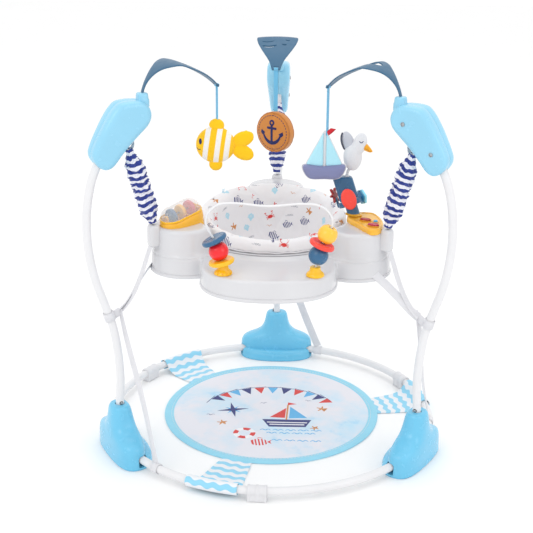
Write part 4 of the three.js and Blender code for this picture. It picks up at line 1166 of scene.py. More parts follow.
def add_stitch_ring(name, radius, height, count):
    stitches = []
    for k in range(count):
        start, end = 360 * (k + 0.2) / count, 360 * (k + 0.8) / count
        path = [MAT_CENTRE + polar(radius, start, height),
                MAT_CENTRE + polar(radius, (start + end) / 2, height + 0.35),
                MAT_CENTRE + polar(radius, end, height)]
        stitches.append(swept(path, circle(0.4, 6)))
    piece(name, combined(*stitches), MATERIALS["webbing"], "frame")


def tab_material():
    """White cloth with wavy light-blue stripes that run along the ring."""
    shader = Shader("tab_cloth", 0.8)
    across, along, _ = shader.split(shader.flat())
    swing = shader.math("MULTIPLY",
                        shader.math("SINE", shader.math("MULTIPLY", across, 2 * math.pi / 0.03)), 0.0026)
    wobble = shader.math("MULTIPLY", shader.noise(26.0), 0.004)
    level = shader.math("ADD", shader.math("ADD", along, swing), wobble)
    wave = shader.math("SINE", shader.math("MULTIPLY", level, 2 * math.pi / 0.026))
    stripe = shader.stretch(wave, -0.12, 0.12, 0.0, 1.0)
    fabric = shader.mix(stripe, colour(232, 234, 238), colour(146, 210, 236))
    shader.set("Base Color", fabric)
    folds = shader.bump(shader.noise(28.0, 2.0), 0.3, 0.003)
    shader.bump(shader.noise(1400.0, 2.0), 0.25, 0.0002, before=folds)
    shader.set("Sheen Weight", 0.2)
    return shader.material


MATERIALS["tab"] = tab_material()


def add_mat_tab(index, azimuth):
    """Runs from under the mat's edge, up over the ring tube and back underneath."""
    half_turn = 8.7
    across = MAT_CENTRE.y * math.cos(math.radians(azimuth))
    edge = MAT_CENTRE.y * math.sin(math.radians(azimuth)) + math.sqrt(MAT_RADIUS ** 2 - across ** 2)
    line = [(edge - 8, 1.2), (edge + 6, 1.3), (edge + 20, 1.6), (345, 2.6), (360, 7.5), (370, 15)]
    for k in range(9):
        angle = math.radians(158 - 32 * k)
        line.append((RING_RADIUS + 12.6 * math.cos(angle), RING_HEIGHT + 12.6 * math.sin(angle)))
    centre = smooth_path([(x, 0, z) for x, z in line], 70)
    columns, half = 30, 0.8
    rings, marks = [], []
    travelled = 0.0
    steps = []
    for i, point in enumerate(centre):
        if i:
            travelled += (point - centre[i - 1]).length
        along = (centre[min(i + 1, 69)] - centre[max(i - 1, 0)]).normalized()
        steps.append((point, Vector((-along.z, 0, along.x)), travelled))
    for c in range(columns + 1):
        turn = azimuth + half_turn * (2 * c / columns - 1)
        section, section_marks = [], []
        for sign in (1, -1):
            for point, normal, travel in (steps if sign > 0 else reversed(steps)):
                ripple = 1.0 * noise.noise(Vector((c * 0.21, travel * 0.035, azimuth)))
                ripple *= min(1, travel / 20) if point.x < 372 else 0.2
                lifted = point + normal * (half * sign + max(ripple, -0.35))
                section.append(polar(lifted.x, turn, max(lifted.z, 0.05)))
                section_marks.append((point.x * math.radians(turn - azimuth), travel, 0))
        rings.append(section)
        marks.extend(section_marks)
    tab = add_object(f"mat_tab_{index + 1}", lofted(rings), 50)
    mark_flat_coordinates(tab, marks)
    finish_piece(tab, MATERIALS["tab"], "frame")


add_mat()


# ---- Tray: a lobed moulding with three pods, a collar for the seat and an ear on each pod ----
TRAY_EDGE_LOBES = ((209, 217, 81), (331, 217, 81), (90, 217, 81))  # azimuth, distance, radius
COLLAR_RADIUS = 177
DECK = 480


def front_reach(angle):
    """How far the wide front lobe reaches at an angle, found by halving."""
    if math.sin(angle) >= 0:
        return 0
    low, high = 0.0, 400.0
    for _ in range(30):
        middle = (low + high) / 2
        x = abs(middle * math.cos(angle)) / 148
        y = abs(min(0, middle * math.sin(angle) + 200)) / 122
        if x ** 2.3 + y ** 2.3 > 1:
            high = middle
        else:
            low = middle
    return low


def tray_reach(angle):
    reach = 207.0
    reaches = [front_reach(angle)]
    for azimuth, distance, radius in TRAY_EDGE_LOBES:
        off = angle - math.radians(azimuth)
        miss = distance * math.sin(off)
        if abs(miss) < radius and math.cos(off) > 0:
            reaches.append(distance * math.cos(off) + math.sqrt(radius ** 2 - miss ** 2))
    for other in reaches:
        overlap = max(10 - abs(reach - other), 0) / 10
        reach = max(reach, other) + overlap * overlap * 10 / 4
    return reach


def tray_outline(count=360):
    fine = [polar(tray_reach(math.radians(k / 4)), k / 4) for k in range(1440)]
    even = resampled(fine, count, closed=True)
    for _ in range(3):
        even = [(even[k - 1] + even[k] * 2 + even[(k + 1) % count]) / 4 for k in range(count)]
    return even


def tray_ring(outline, offset, height):
    return [(x, y, height) for x, y in inset([(p.x, p.y) for p in outline], -offset)]


def circle_ring(outline, radius, height):
    return [polar(radius, math.degrees(math.atan2(p.y, p.x)), height) for p in outline]


def tray_body(outline):
    """Collar, rise, deck, rounded edge, skirt, flared lip and the hollow underside, as one closed shell."""
    rings = [circle_ring(outline, r, z) for r, z in (
        (COLLAR_RADIUS, 439), (COLLAR_RADIUS, 470), (COLLAR_RADIUS, 486), (COLLAR_RADIUS + 0.6, 487.6),
        (COLLAR_RADIUS + 2, 488), (COLLAR_RADIUS + 4.5, 488), (COLLAR_RADIUS + 6.2, 487.4),
        (COLLAR_RADIUS + 8, 485.8), (COLLAR_RADIUS + 12, 483.4), (COLLAR_RADIUS + 17, 481.2))]
    inner = circle_ring(outline, COLLAR_RADIUS + 21, 480.2)
    edge = tray_ring(outline, -13, DECK)
    for share in (0, 0.2, 0.4, 0.6, 0.8, 1):
        rings.append([Vector(a).lerp(Vector(b), share) for a, b in zip(inner, edge)])
    for offset, height in ((-9.5, 480.2), (-7, 480.2), (-4.6, 479.7), (-2.4, 478.6), (-0.9, 476.8),
                           (-0.1, 474.2), (0.2, 470), (0.7, 460), (1.3, 446), (1.5, 442.4), (0.9, 441.6),
                           (1.0, 440.8), (3.0, 440.0), (4.0, 438.6), (4.3, 436.2), (3.9, 434.2),
                           (3.0, 433.3), (1.6, 433.0), (-1.0, 433.2), (-1.5, 434.5), (-1.6, 438),
                           (-2.4, 460), (-3.4, 473), (-8, 477.2)):
        rings.append(tray_ring(outline, offset, height))
    rings.append(circle_ring(outline, COLLAR_RADIUS + 19, 477.2))
    rings.append(circle_ring(outline, COLLAR_RADIUS + 6, 478))
    rings.append(circle_ring(outline, COLLAR_RADIUS + 3, 470))
    rings.append(circle_ring(outline, COLLAR_RADIUS + 3, 439))
    return lofted(rings, closed=True)


def pod_outline(azimuth, gap, count=120):
    """A round pod, cut off on the seat's side by a circle round the seat."""
    distance, radius, seat_side = 222, 72 - gap, 184 + gap
    x = (distance ** 2 + seat_side ** 2 - radius ** 2) / (2 * distance)
    y = math.sqrt(seat_side ** 2 - x ** 2)
    outer = math.atan2(-y, x - distance)
    inner = math.atan2(y, x)
    points = [Vector((distance + radius * math.cos(outer * (1 - 2 * k / 60)),
                      radius * math.sin(outer * (1 - 2 * k / 60)), 0)) for k in range(61)]
    points += [Vector((seat_side * math.cos(inner * (1 - 2 * k / 24)),
                       seat_side * math.sin(inner * (1 - 2 * k / 24)), 0)) for k in range(1, 24)]
    even = resampled(points, count, closed=True)
    for _ in range(8):
        even = [(even[k - 1] + even[k] * 2 + even[(k + 1) % count]) / 4 for k in range(count)]
    turn = turned(azimuth)
    return [turn @ p for p in even]


def pod_shape(azimuth):
    """Walls that lean in slightly, a hollowed foot that flows into the deck, and a soft top edge."""
    levels = [(478, -6.5), (480.5, -6.0), (481.5, -4.4), (484, -2.7), (488, -1.2), (494, 0.0), (510, 0.7),
              (528, 1.4), (533, 1.9), (536.4, 3.0), (538.6, 4.8), (539.7, 7.4), (540, 10.5)]
    outline = [(p.x, p.y) for p in pod_outline(azimuth, 0)]
    rings = []
    for height, gap in levels:
        ring = []
        for (x, y), (foot_x, foot_y) in zip(outline, inset(outline, gap)):
            widest = max(math.hypot(x, y), tray_reach(math.atan2(foot_y, foot_x)) - 1.8)
            shrink = min(1.0, widest / math.hypot(foot_x, foot_y)) if gap < 0 else 1.0
            ring.append((foot_x * shrink, foot_y * shrink, height))
        rings.append(ring)
    return lofted(rings)


def lug_shape(azimuth):
    """A thick rounded ear on the pod's outer wall, which a spring and a strap hook into."""
    rings = []
    for height, reach, half in ((497, 8.5, 9.5), (498.4, 11, 12), (501, 12.6, 13.6), (505, 13.4, 14.2),
                                (535, 13.4, 14.2), (541, 12.8, 13.6), (545, 11.4, 12.2), (547, 9.0, 9.8)):
        rings.append([(299 + x, y, height) for x, y in superellipse(reach, reach, half, 3.4, 48)])
    return moved(lofted(rings), turned(azimuth))


def add_tray():
    outline = tray_outline()
    piece("tray_shell", tray_body(outline), MATERIALS["tray"], "tray", ["tray_top"], 34)
    for (side, leg), (lobe_azimuth, _, _) in zip(LEGS.items(), TRAY_EDGE_LOBES):
        hook_hole = moved(lathe([(0, -6), (4.2, -6), (4.2, 6), (0, 6)], 20),
                          turned(leg["azimuth"]) @ Matrix.Translation((300, 0, 546)))
        for name, shape in ((f"tray_pod_{side}", pod_shape(lobe_azimuth)),
                            (f"hook_lug_{side}", lug_shape(leg["azimuth"]))):
            part = carve(add_object(name, shape), [hook_hole], smooth_angle=30)
            finish_piece(part, MATERIALS["tray"], "tray", ["tray_top"])
    under = []
    for offset, height in ((-2.2, 435.2), (-2.2, 438.6), (-7, 438.6)):
        under.append(tray_ring(outline, offset, height))
    under.append(circle_ring(outline, COLLAR_RADIUS + 4, 438.6))
    under.append(circle_ring(outline, COLLAR_RADIUS + 4, 435.2))
    plate = add_object("tray_underside", lofted(under, closed=True), 34)
    ribs = []
    for k in range(24):
        angle = k * 15 + 4
        reach = tray_reach(math.radians(angle)) - 14
        rib = slab(rounded_rectangle(reach - COLLAR_RADIUS - 10, 2.2, 0.8), 431.6, 436, 0.4)
        ribs.append(moved(rib, turned(angle) @ Matrix.Translation(((reach + COLLAR_RADIUS + 10) / 2, 0, 0))))
    carve(plate, ribs, "UNION", 34)
    finish_piece(plate, MATERIALS["tray"], "tray", ["tray_bottom"])
    for k in range(9):
        angle = k * 40 + 12
        reach = tray_reach(math.radians(angle)) - 12
        well = lathe([(0, 0.8), (2.0, 0.4), (3.2, 0.0), (3.8, -0.9), (3.9, 1.4), (0, 1.4)], 20)
        piece(f"tray_screw_{k + 1}", moved(well, Matrix.Translation(polar(reach, angle, 433.9))),
              MATERIALS["screw"], "tray")


add_tray()


# ---- Seat ----
RIM_MIDDLE, RIM_RISE = 542, 20


def seat_profile(angle):
    """(radius, height) points from the hem, up the outside, over the rolled rim and down into the seat."""
    rim = RIM_MIDDLE + RIM_RISE * math.sin(angle)
    back = max(0.0, math.sin(angle))
    outside = [(174, 493), (174.5, 500), (174.5, (500 + rim - 20) / 2), (174, rim - 18), (171.5, rim - 8),
               (166.5, rim - 2), (159.5, rim), (152, rim - 3), (147, rim - 9)]
    inside = [(144 - 3 * back, rim - 20), (141 - 5 * back, rim - 45), (136 - 5 * back, 470), (129, 440),
              (116, 408), (97, 382), (72, 362), (40, 352), (0.5, 350)]
    return [Vector((r, 0, z)) for r, z in outside + inside]


def seat_shell(around=96):
    """The padded fabric as one closed skin; the lining runs about 5 mm inside the cover."""
    thickness = 5.0
    cover, lining = [], []
    for k in range(around):
        angle = 2 * math.pi * k / around
        line = smooth_path(seat_profile(angle), 64)
        under = []
        for i, point in enumerate(line):
            along = (line[min(i + 1, 63)] - line[max(i - 1, 0)]).normalized()
            away = Vector((along.z, 0, -along.x))
            under.append(point - away * thickness)
        cover.append([polar(p.x, math.degrees(angle), p.z) for p in line])
        lining.append([polar(max(p.x, 0.5), math.degrees(angle), p.z) for p in under])
    rings = []
    for i in range(64):
        rings.append([cover[k][i] for k in range(around)])
    for i in reversed(range(64)):
        rings.append([lining[k][i] for k in range(around)])
    return lofted(rings, closed=True)


def leg_hole(side):
    """An oval opening in the front of the seat's bottom, tilted with the cloth."""
    return moved(lathe([(0, -60), (42, -60), (46, 60), (0, 60)], 48),
                 Matrix.Translation((side * 60, -38, 372)) @ Matrix.Rotation(math.radians(side * 12), 4, "Y"))


def seat_cloth():
    """Off-white printed cotton over padding."""
    shader = Shader("seat_cloth", 0.82)
    x, y, z = shader.split(shader.place())
    rate = math.pi / 0.0011
    warp = shader.math("SINE", shader.math("MULTIPLY", shader.math("ADD", x, y), rate))
    weft = shader.math("SINE", shader.math("MULTIPLY", z, rate))
    cloud = shader.noise(12.0, 3.0)
    shader.set("Base Color", shader.mix(cloud, colour(226, 224, 226), colour(238, 237, 239)))
    folds = shader.bump(shader.noise(18.0, 3.0), 0.3, 0.006)
    crumple = shader.bump(shader.noise(60.0, 4.0), 0.22, 0.0015, before=folds)
    shader.bump(shader.math("MULTIPLY", warp, weft), 0.2, 0.0002, before=crumple)
    shader.set("Sheen Weight", 0.25)
    shader.set("Sheen Roughness", 0.5)
    return shader.material


def inflate(obj, voxel, pressure, cap, frames=20, still=None):
    """Remeshes a padded piece, blows it up a little as cloth and keeps each point within the cap, in mm."""
    bpy.context.view_layer.objects.active = obj
    remesh = obj.modifiers.new("remesh", "REMESH")
    remesh.mode = "VOXEL"
    remesh.voxel_size = voxel * MM
    apply_modifiers(obj, 0)
    start = [v.co.copy() for v in obj.data.vertices]
    if still is not None:
        group = obj.vertex_groups.new(name="held")
        for index, place in enumerate(start):
            hold = still(place / MM)
            if hold > 0:
                group.add([index], hold, "REPLACE")
    cloth = obj.modifiers.new("cloth", "CLOTH")
    cloth.settings.use_pressure = True
    cloth.settings.uniform_pressure_force = pressure
    cloth.settings.effector_weights.gravity = 0
    cloth.settings.quality = 5
    cloth.settings.mass = 0.25
    if still is not None:
        cloth.settings.vertex_group_mass = "held"
    cloth.point_cache.frame_start = 1
    cloth.point_cache.frame_end = frames
    scene = bpy.context.scene
    for number in range(1, frames + 1):
        scene.frame_set(number)
    apply_modifiers(obj, 0)
    scene.frame_set(1)
    for vertex, before in zip(obj.data.vertices, start):
        shift = vertex.co - before
        if shift.length > cap * MM:
            vertex.co = before + shift.normalized() * cap * MM
    return subdivided(obj, 1, 0)


def add_seat():
    seat = add_object("seat_pad", seat_shell())
    carve(seat, [leg_hole(-1), leg_hole(1)])
    inflate(seat, 5, 2.5, 3.2, frames=14,
            still=lambda p: 1.0 if p.z < 499 and math.hypot(p.x, p.y) > 160 else 0.0)
    seat.data.shade_smooth()
    finish_piece(seat, seat_cloth(), "seat", ["seat_sling"])
    add_seat_piping()
    ring_profile = [(157, 489), (181.0, 489), (182, 489.8), (181.2, 490.8), (165.5, 491.4), (164.6, 492.6),
                    (164.4, 506), (163.4, 507), (158, 507), (157, 506)]
    piece("seat_swivel_ring", lathe(ring_profile, 120, closed=True), MATERIALS["tray"], "seat",
          ["seat_ring"])


def add_seat_piping():
    """A bound seam round the hem."""
    hem = [polar(174.4, 360 * k / 180, 494 + 0.5 * math.sin(k * 0.9)) for k in range(180)]
    piece("seat_hem", swept(hem, circle(1.7, 10), ups=[(0, 0, 1)] * 180, closed=True),
          MATERIALS["cloth_white"], "seat")


MATERIALS["cloth_white"] = plain_cloth("cloth_white", colour(222, 221, 224))
add_seat()


# ---- Toys on the tray ----
def joint_place(node):
    """The middle and the axis of a moving piece, in millimetres, from its joint."""
    joint = next(entry for entry in frame["joints"] if entry["child"] == node)
    return Vector(joint["pos_m"]) / MM, Vector(joint["axis"])


RAIL_Y = -275
WIRE_POINTS = ((-94, 484), (-96, 500), (-99, 515), (-104, 533), (-112, 555), (-124, 576), (-130, 596),
               (-123, 617), (-104, 633), (-72, 637), (0, 632), (70, 638), (104, 636), (126, 623),
               (136, 602), (133, 586), (124, 569), (115, 550), (109, 530), (105, 512), (103, 498),
               (102, 484))


def ball_profile(radius, flat, bore):
    """A round bead with flattened ends, a dimpled bore and a faint mould line."""
    profile = [(bore, -flat + 1.6), (bore + 1.4, -flat)]
    for k in range(25):
        height = -flat + 2 * flat * k / 24
        swell = 0.25 if abs(height) < 0.5 else 0.0
        profile.append((math.sqrt(max(radius ** 2 - height ** 2, 1)) + swell, height))
    profile += [(bore + 1.4, flat), (bore, flat - 1.6)]
    return profile


def dish_profile(radius, half, bore, dip):
    """A thick disc with rounded edges and a dished face round its bore."""
    edge = []
    for k in range(13):
        angle = math.pi * (k / 12 - 0.5)
        edge.append((radius - half * 0.8 + half * 0.8 * math.cos(angle), half * math.sin(angle)))
    before = [(bore, -half + dip), (bore + 5, -half + dip), (radius * 0.62, -half + dip * 0.4),
              (radius * 0.72, -half)]
    after = [(r, -z) for r, z in reversed(before)]
    return before + edge + after


def add_bead_rail():
    path = smooth_path([(x, RAIL_Y, z) for x, z in WIRE_POINTS], 150)
    wire = swept(path, circle(2.5, 14), ups=[(0, 1, 0)] * 150)
    piece("bead_wire", wire, MATERIALS["tube"], "tray", ["bead_rail"])
    for name, x in (("left", -94), ("right", 102)):
        stand = lathe([(0, 0), (18.6, 0), (19.6, 0.8), (19.8, 2), (19, 5), (16.2, 8), (13.4, 10.4),
                       (11.8, 13.5), (11.2, 17), (11.6, 19), (11.2, 20.2), (9.6, 20.5), (3.2, 20.5),
                       (2.9, 19.4), (0, 19.4)], 48)
        at = Matrix.Translation((x, RAIL_Y, 480.2))
        part = add_object(f"bead_stand_{name}", moved(stand, at))
        if name == "left":
            flutes = []
            for k in range(12):
                flute = lathe([(0, -14), (1.5, -13), (1.9, 13), (0, 14)], 12)
                flutes.append(moved(flute, at @ turned(30 * k) @ Matrix.Translation((14.6, 0, 12)) @
                                    Matrix.Rotation(math.radians(-27), 4, "Y")))
            carve(part, flutes, smooth_angle=34)
        finish_piece(part, MATERIALS["yellow"], "tray", ["bead_rail"])


def add_beads():
    beads = {"bead_yellow_disc": ("disc", "yellow", "toy_yellow"),
             "bead_red_ball": ("ball", "red", "toy_red"), "bead_blue_disc": ("disc", "blue", "toy_blue"),
             "bead_blue_ball": ("ball", "blue", "toy_blue"),
             "bead_coral_disc": ("dish", "coral", "toy_coral"),
             "bead_yellow_ball": ("ball", "ball_yellow", "toy_yellow")}
    for node, (kind, material, slot) in beads.items():
        middle, axis = joint_place(node)
        if kind == "ball":
            profile = ball_profile(21.2, 17, 5.2)
        else:
            profile = dish_profile(28, 5, 5.2, 1.4 if kind == "dish" else 0.5)
        shape = moved(lathe(profile, 64, closed=True), along_axis(middle, axis))
        piece(node, shape, MATERIALS[material], node, [node], 30)
        # Dark rings in both mouths of the bead's bore, round the wire: painted shade inside the bore, not a
        # part of the toy.
        bore_shade_ring = lathe([(3.0, -2.0), (5.2, -2.0), (5.2, 2.0), (3.0, 2.0)], 24, closed=True)
        reach = 14 if kind == "ball" else 2.2
        for label, way in (("upper", 1), ("lower", -1)):
            sleeve = moved(bore_shade_ring, along_axis(middle + axis * way * reach, axis))
            piece(f"{node}_bush_{label}", sleeve, MATERIALS["dark"], node)


add_bead_rail()
add_beads()


# ---- Spinning drum under its clear dome ----
DRUM = Matrix.Translation((-200, -108, 540)) @ Matrix.Rotation(math.radians(48.6), 4, "Z") @ \
    Matrix.Rotation(math.radians(-10), 4, "Y")


def capsule_ring(length, radius, height, count=64):
    """A stadium outline, long along x."""
    ring = []
    for k in range(count):
        angle = 2 * math.pi * (k + 0.5) / count
        shift = length / 2 if math.cos(angle) > 0 else -length / 2
        ring.append((shift + radius * math.cos(angle), radius * math.sin(angle), height))
    return ring


def outside_seat(shape, least):
    """Keeps points at least a given distance from the seat's axis."""
    points, faces = shape
    result = []
    for point in points:
        reach = math.hypot(point.x, point.y)
        grown = max(reach, least)
        result.append(Vector((point.x * grown / reach, point.y * grown / reach, point.z)))
    return result, faces


def add_drum():
    body = []
    for height, gap in ((-26, 0), (-6, 0.2), (8, 0.6), (15, 1.2), (18.4, 2.6), (20.2, 5.2), (20.6, 8.5)):
        body.append([(x, y, height) for x, y in superellipse(56 - gap, 56 - gap, 33 - gap, 2.6, 96)])
    for height, gap in ((20.6, 0.0), (19.2, 1.2), (12, 2.2), (7.2, 6.0), (5.2, 12), (4.4, 20)):
        body.append(capsule_ring(50 - 0.5 * gap, 24.5 - gap, height, 96))
    aligned = [sorted(ring, key=lambda p: math.atan2(p[1], p[0])) for ring in body]
    points, faces = moved(lofted(aligned), DRUM)
    lowest, seat_clearance = 531, 178
    points = [Vector((p.x, p.y, max(p.z, lowest))) for p in points]
    piece("drum_body", outside_seat((points, faces), seat_clearance), MATERIALS["amber"], "tray",
          ["drum_base"])
    bezel = []
    for offset, height in ((29.4, 20.2), (29.9, 22.0), (29.1, 23.6), (27.6, 24.0), (26.3, 23.2),
                           (26.1, 20.6)):
        bezel.append(capsule_ring(50, offset, height, 96))
    piece("drum_bezel", moved(lofted(bezel, closed=True), DRUM), MATERIALS["yellow"], "tray",
          ["drum_base"])
    axle = lathe([(0, -44), (1.6, -44), (1.6, 44), (0, 44)], 20)
    lying = Matrix.Rotation(math.radians(90), 4, "Y")
    piece("drum_axle", moved(axle, DRUM @ Matrix.Translation((0, 0, 27)) @ lying), MATERIALS["screw"], "tray",
          ["drum_base"])
    for label, x in (("outer", -41.5), ("inner", 41.5)):
        ear = slab(superellipse(5.6, 17, 5.4, 2.6, 40), -1.8, 1.8, 0.7)
        standing = DRUM @ Matrix.Translation((x, 0, 27)) @ Matrix.Rotation(math.radians(90), 4, "Y")
        piece(f"drum_axle_post_{label}", moved(ear, standing), MATERIALS["amber"], "tray",
              ["drum_base"])
    dome = []
    for radius, least, steps in ((29, 0.4, range(15)), (27.4, 0.3, reversed(range(15)))):
        for k in steps:
            angle = math.pi / 2 * k / 14
            dome.append(capsule_ring(50 if k < 14 else 49.6, max(radius * math.cos(angle), least),
                                     20.4 + radius * math.sin(angle), 72))
    piece("drum_dome_clear", moved(lofted(dome, closed=True), DRUM), MATERIALS["dome"], "tray",
          ["drum_dome"])


def add_drum_discs():
    for colour_name, material in (("blue", "blue"), ("amber", "amber"), ("pink", "pink")):
        node = f"drum_disc_{colour_name}"
        middle, axis = joint_place(node)
        at = along_axis(middle, axis)
        profile = [(1.9, -4.2), (4.6, -4.2), (5.2, -5.0), (12.4, -5.0), (16.2, -4.4), (17, -3.2), (17, 3.2),
                   (16.2, 4.4), (12.4, 5.0), (5.2, 5.0), (4.6, 4.2), (1.9, 4.2)]
        disc = add_object(node, moved(lathe(profile, 56, closed=True), at))
        cuts = []
        for k in range(12):
            notch = lathe([(0, -7), (1.0, -7), (1.0, 7), (0, 7)], 10)
            cuts.append(moved(notch, at @ turned(30 * k) @ Matrix.Translation((17.6, 0, 0))))
        carve(disc, cuts, smooth_angle=32)
        finish_piece(disc, MATERIALS[material], node, [node])
        if colour_name == "amber":
            continue
        for label, way in (("front", 1), ("back", -1)):
            mark = slab(rounded_rectangle(2.4, 15, 1.1), 4.9, 5.35, 0.15, 1)
            flip = Matrix.Rotation(math.radians(0 if way > 0 else 180), 4, "X")
            face = at @ flip @ Matrix.Translation((8, 0, 0))
            piece(f"{node}_mark_{label}", moved(mark, face), MATERIALS["tray"], node)


add_drum()
add_drum_discs()


# ---- Console with three push buttons ----
CONSOLE_OUTLINE = ((172, -72), (180, -44), (206, -36), (232, -40), (245, -66), (252, -105), (249, -140),
                   (238, -166), (222, -170), (208, -152), (194, -122), (178, -94))
CONSOLE_BUTTONS = (("button_red", 213, -98, 13, 7, "dark_red"),
                   ("button_magenta", 229, -136, 13, 8, "magenta"), ("button_blue", 235, -110, 5, 5, "sky"))


def translucent_amber():
    shader = Shader("amber_lens", 0.16)
    shader.set("Base Color", shader.mix(shader.noise(20.0), colour(244, 170, 30), colour(250, 192, 62)))
    shader.set("Subsurface Weight", 0.35)
    shader.set("Subsurface Radius", (0.006, 0.004, 0.002))
    shader.bump(shader.noise(30.0), 0.06, 0.001)
    shader.set("Coat Weight", 0.5)
    return shader.material


def add_console():
    outline = [(p.x, p.y) for p in smooth_path([(x, y, 0) for x, y in CONSOLE_OUTLINE], 132, closed=True)]
    if sum(a[0] * b[1] - b[0] * a[1] for a, b in zip(outline, outline[1:] + outline[:1])) < 0:
        outline.reverse()
    rings = []
    for gap, height in ((0.6, 538.6), (0.0, 540.2), (0.0, 547.8), (0.7, 550.4), (2.4, 551.8), (4.6, 552.0),
                        (5.6, 551.6), (6.0, 550.4), (12, 550.2)):
        rings.append([(x, y, height) for x, y in inset(outline, gap)])
    piece("console_body", lofted(rings), MATERIALS["amber"], "tray", ["console"])
    lens = []
    for gap, height in ((6.6, 549.9), (6.6, 550.7), (7.2, 551.2), (8.6, 551.4), (14, 551.5)):
        lens.append([(x, y, height) for x, y in inset(outline, gap)])
    panel = add_object("console_panel", lofted(lens))
    wells = []
    for name, x, y, across, along, _ in CONSOLE_BUTTONS:
        well = slab(superellipse(across + 0.8, across + 0.8, along + 0.8, 2.2, 48), 549.2, 553, 0.1, 1)
        wells.append(moved(well, Matrix.Translation((x, y, 0)) @ turned(-20)))
    carve(panel, wells, smooth_angle=32)
    finish_piece(panel, translucent_amber(), "tray", ["console"])
    for name, x, y, across, along, material in CONSOLE_BUTTONS:
        at = Matrix.Translation((x, y, 0)) @ turned(-20)

        def button_ring(gap, height):
            outline = superellipse(across - gap, across - gap, along - gap, 2.2, 56)
            return [(px, py, height) for px, py in outline]

        rings = []
        for gap, height in ((0.6, 548.6), (0.3, 551.2), (0.4, 553.4), (1.1, 554.9), (2.4, 555.4),
                            (3.4, 555.0), (3.9, 554.7), (min(across, along) - 0.6, 554.9)):
            rings.append(button_ring(gap, height))
        piece(name, moved(lofted(rings), at), MATERIALS[material], name, [name])
        collar = []
        for gap, height in ((-0.7, 551.2), (-2.2, 551.3), (-2.6, 551.9), (-1.6, 552.3), (-0.9, 552.1)):
            collar.append(button_ring(gap, height))
        piece(f"{name}_collar", moved(lofted(collar, closed=True), at), MATERIALS["amber"], "tray",
              ["console"])


add_console()


# ---- Leaning post with its paddle wheel ----
POST_ROOT = Vector((188, -58, 552))
POST_LEAN = 23
POST_AZIMUTH = 145
POST = Matrix.Translation(POST_ROOT) @ Matrix.Rotation(math.radians(POST_LEAN), 4,
                                                       polar(1, POST_AZIMUTH + 90))
# Turns an outline's thickness to point outwards.
RADIAL = Matrix(((0, 0, 1, 0), (1, 0, 0, 0), (0, 1, 0, 0), (0, 0, 0, 1)))


def cut_height(x, y, height):
    """How far along the leaning post a point at x, y reaches a given height."""
    tilt = POST.to_3x3()
    return (height - POST_ROOT.z - tilt[2][0] * x - tilt[2][1] * y) / tilt[2][2]


def add_post():
    section = rounded_rectangle(43.6, 23.6, 7, 6)
    rings = []
    for gap, height in ((2.0, 35.4), (0.6, 36.4), (0.0, 38.0)):
        rings.append([(x, y, height) for x, y in inset(section, gap)])
    for share in (0.25, 0.5, 0.75):
        rings.append([(x, y, 38 + (cut_height(x, y, 631) - 38) * share) for x, y in section])
    for gap, height in ((0.0, 631), (0.5, 633.6), (1.7, 635.3), (3.6, 636.0), (5.5, 636.1)):
        rings.append([(x, y, cut_height(x, y, height)) for x, y in inset(section, gap)])
    post = add_object("post_slab", moved(lofted(rings), POST))
    groove = slab(rounded_rectangle(3.4, 52, 1.6), -8, 4.5, 1.0)
    face = POST @ Matrix.Translation((-6, -12, 69)) @ Matrix.Rotation(math.radians(90), 4, "X")
    middle, _ = joint_place("gull")
    socket = [(6.7 * math.sin(math.radians(t)), -6.7 * math.cos(math.radians(t))) for t in range(0, 181, 12)]
    cuts = [moved(groove, face), moved(lathe(socket, 24), Matrix.Translation(middle))]
    carve(post, cuts, smooth_angle=34, careful=True)
    finish_piece(post, MATERIALS["blue"], "tray", ["post"])
    foot = []
    for radius, height in ((13.9, 552.6), (13.9, 556)):
        ring = circle(radius, 40)
        foot.append([(x, y, cut_height(x, y, height)) for x, y in ring])
    for radius, height in ((13.9, 22), (13.9, 37), (13.2, 38)):
        foot.append([(x, y, height) for x, y in circle(radius, 40)])
    piece("post_foot", moved(lofted(foot), POST), MATERIALS["blue"], "tray", ["post"])
    flange = []
    for radius, height in ((16.5, 552.1), (18.5, 552.4), (18.4, 553.0), (16.4, 554.0), (14.4, 555.6),
                           (13.2, 555.9)):
        flange.append([POST @ Vector((x, y, cut_height(x, y, height))) for x, y in circle(radius, 40)])
    piece("post_flange", lofted(flange), MATERIALS["amber"], "tray", ["console"])


def paddle(outline, azimuth, low=31.0, high=37.0, rounding=2.4):
    return moved(slab(outline, low, high, rounding, 4), POST @ turned(azimuth) @ RADIAL)


def star_outline(outer, inner, tips, centre):
    """A star with softened points."""
    outline = []
    for k in range(tips * 12):
        angle = 2 * math.pi * k / (tips * 12)
        wave = 0.5 + 0.5 * math.cos(angle * tips)
        radius = inner + (outer - inner) * wave ** 1.5
        outline.append((centre[0] + radius * math.cos(angle), centre[1] + radius * math.sin(angle)))
    return outline


def polygon_outline(radius, corners, centre, softness=0.86):
    outline = []
    for k in range(corners * 12):
        angle = 2 * math.pi * k / (corners * 12)
        nearest = (angle + math.pi / corners) % (2 * math.pi / corners) - math.pi / corners
        flat_radius = radius * math.cos(math.pi / corners) / math.cos(math.pi / corners - abs(nearest))
        reach = min(flat_radius, radius * (softness + 0.11))
        outline.append((centre[0] + reach * math.cos(angle), centre[1] + reach * math.sin(angle)))
    return outline


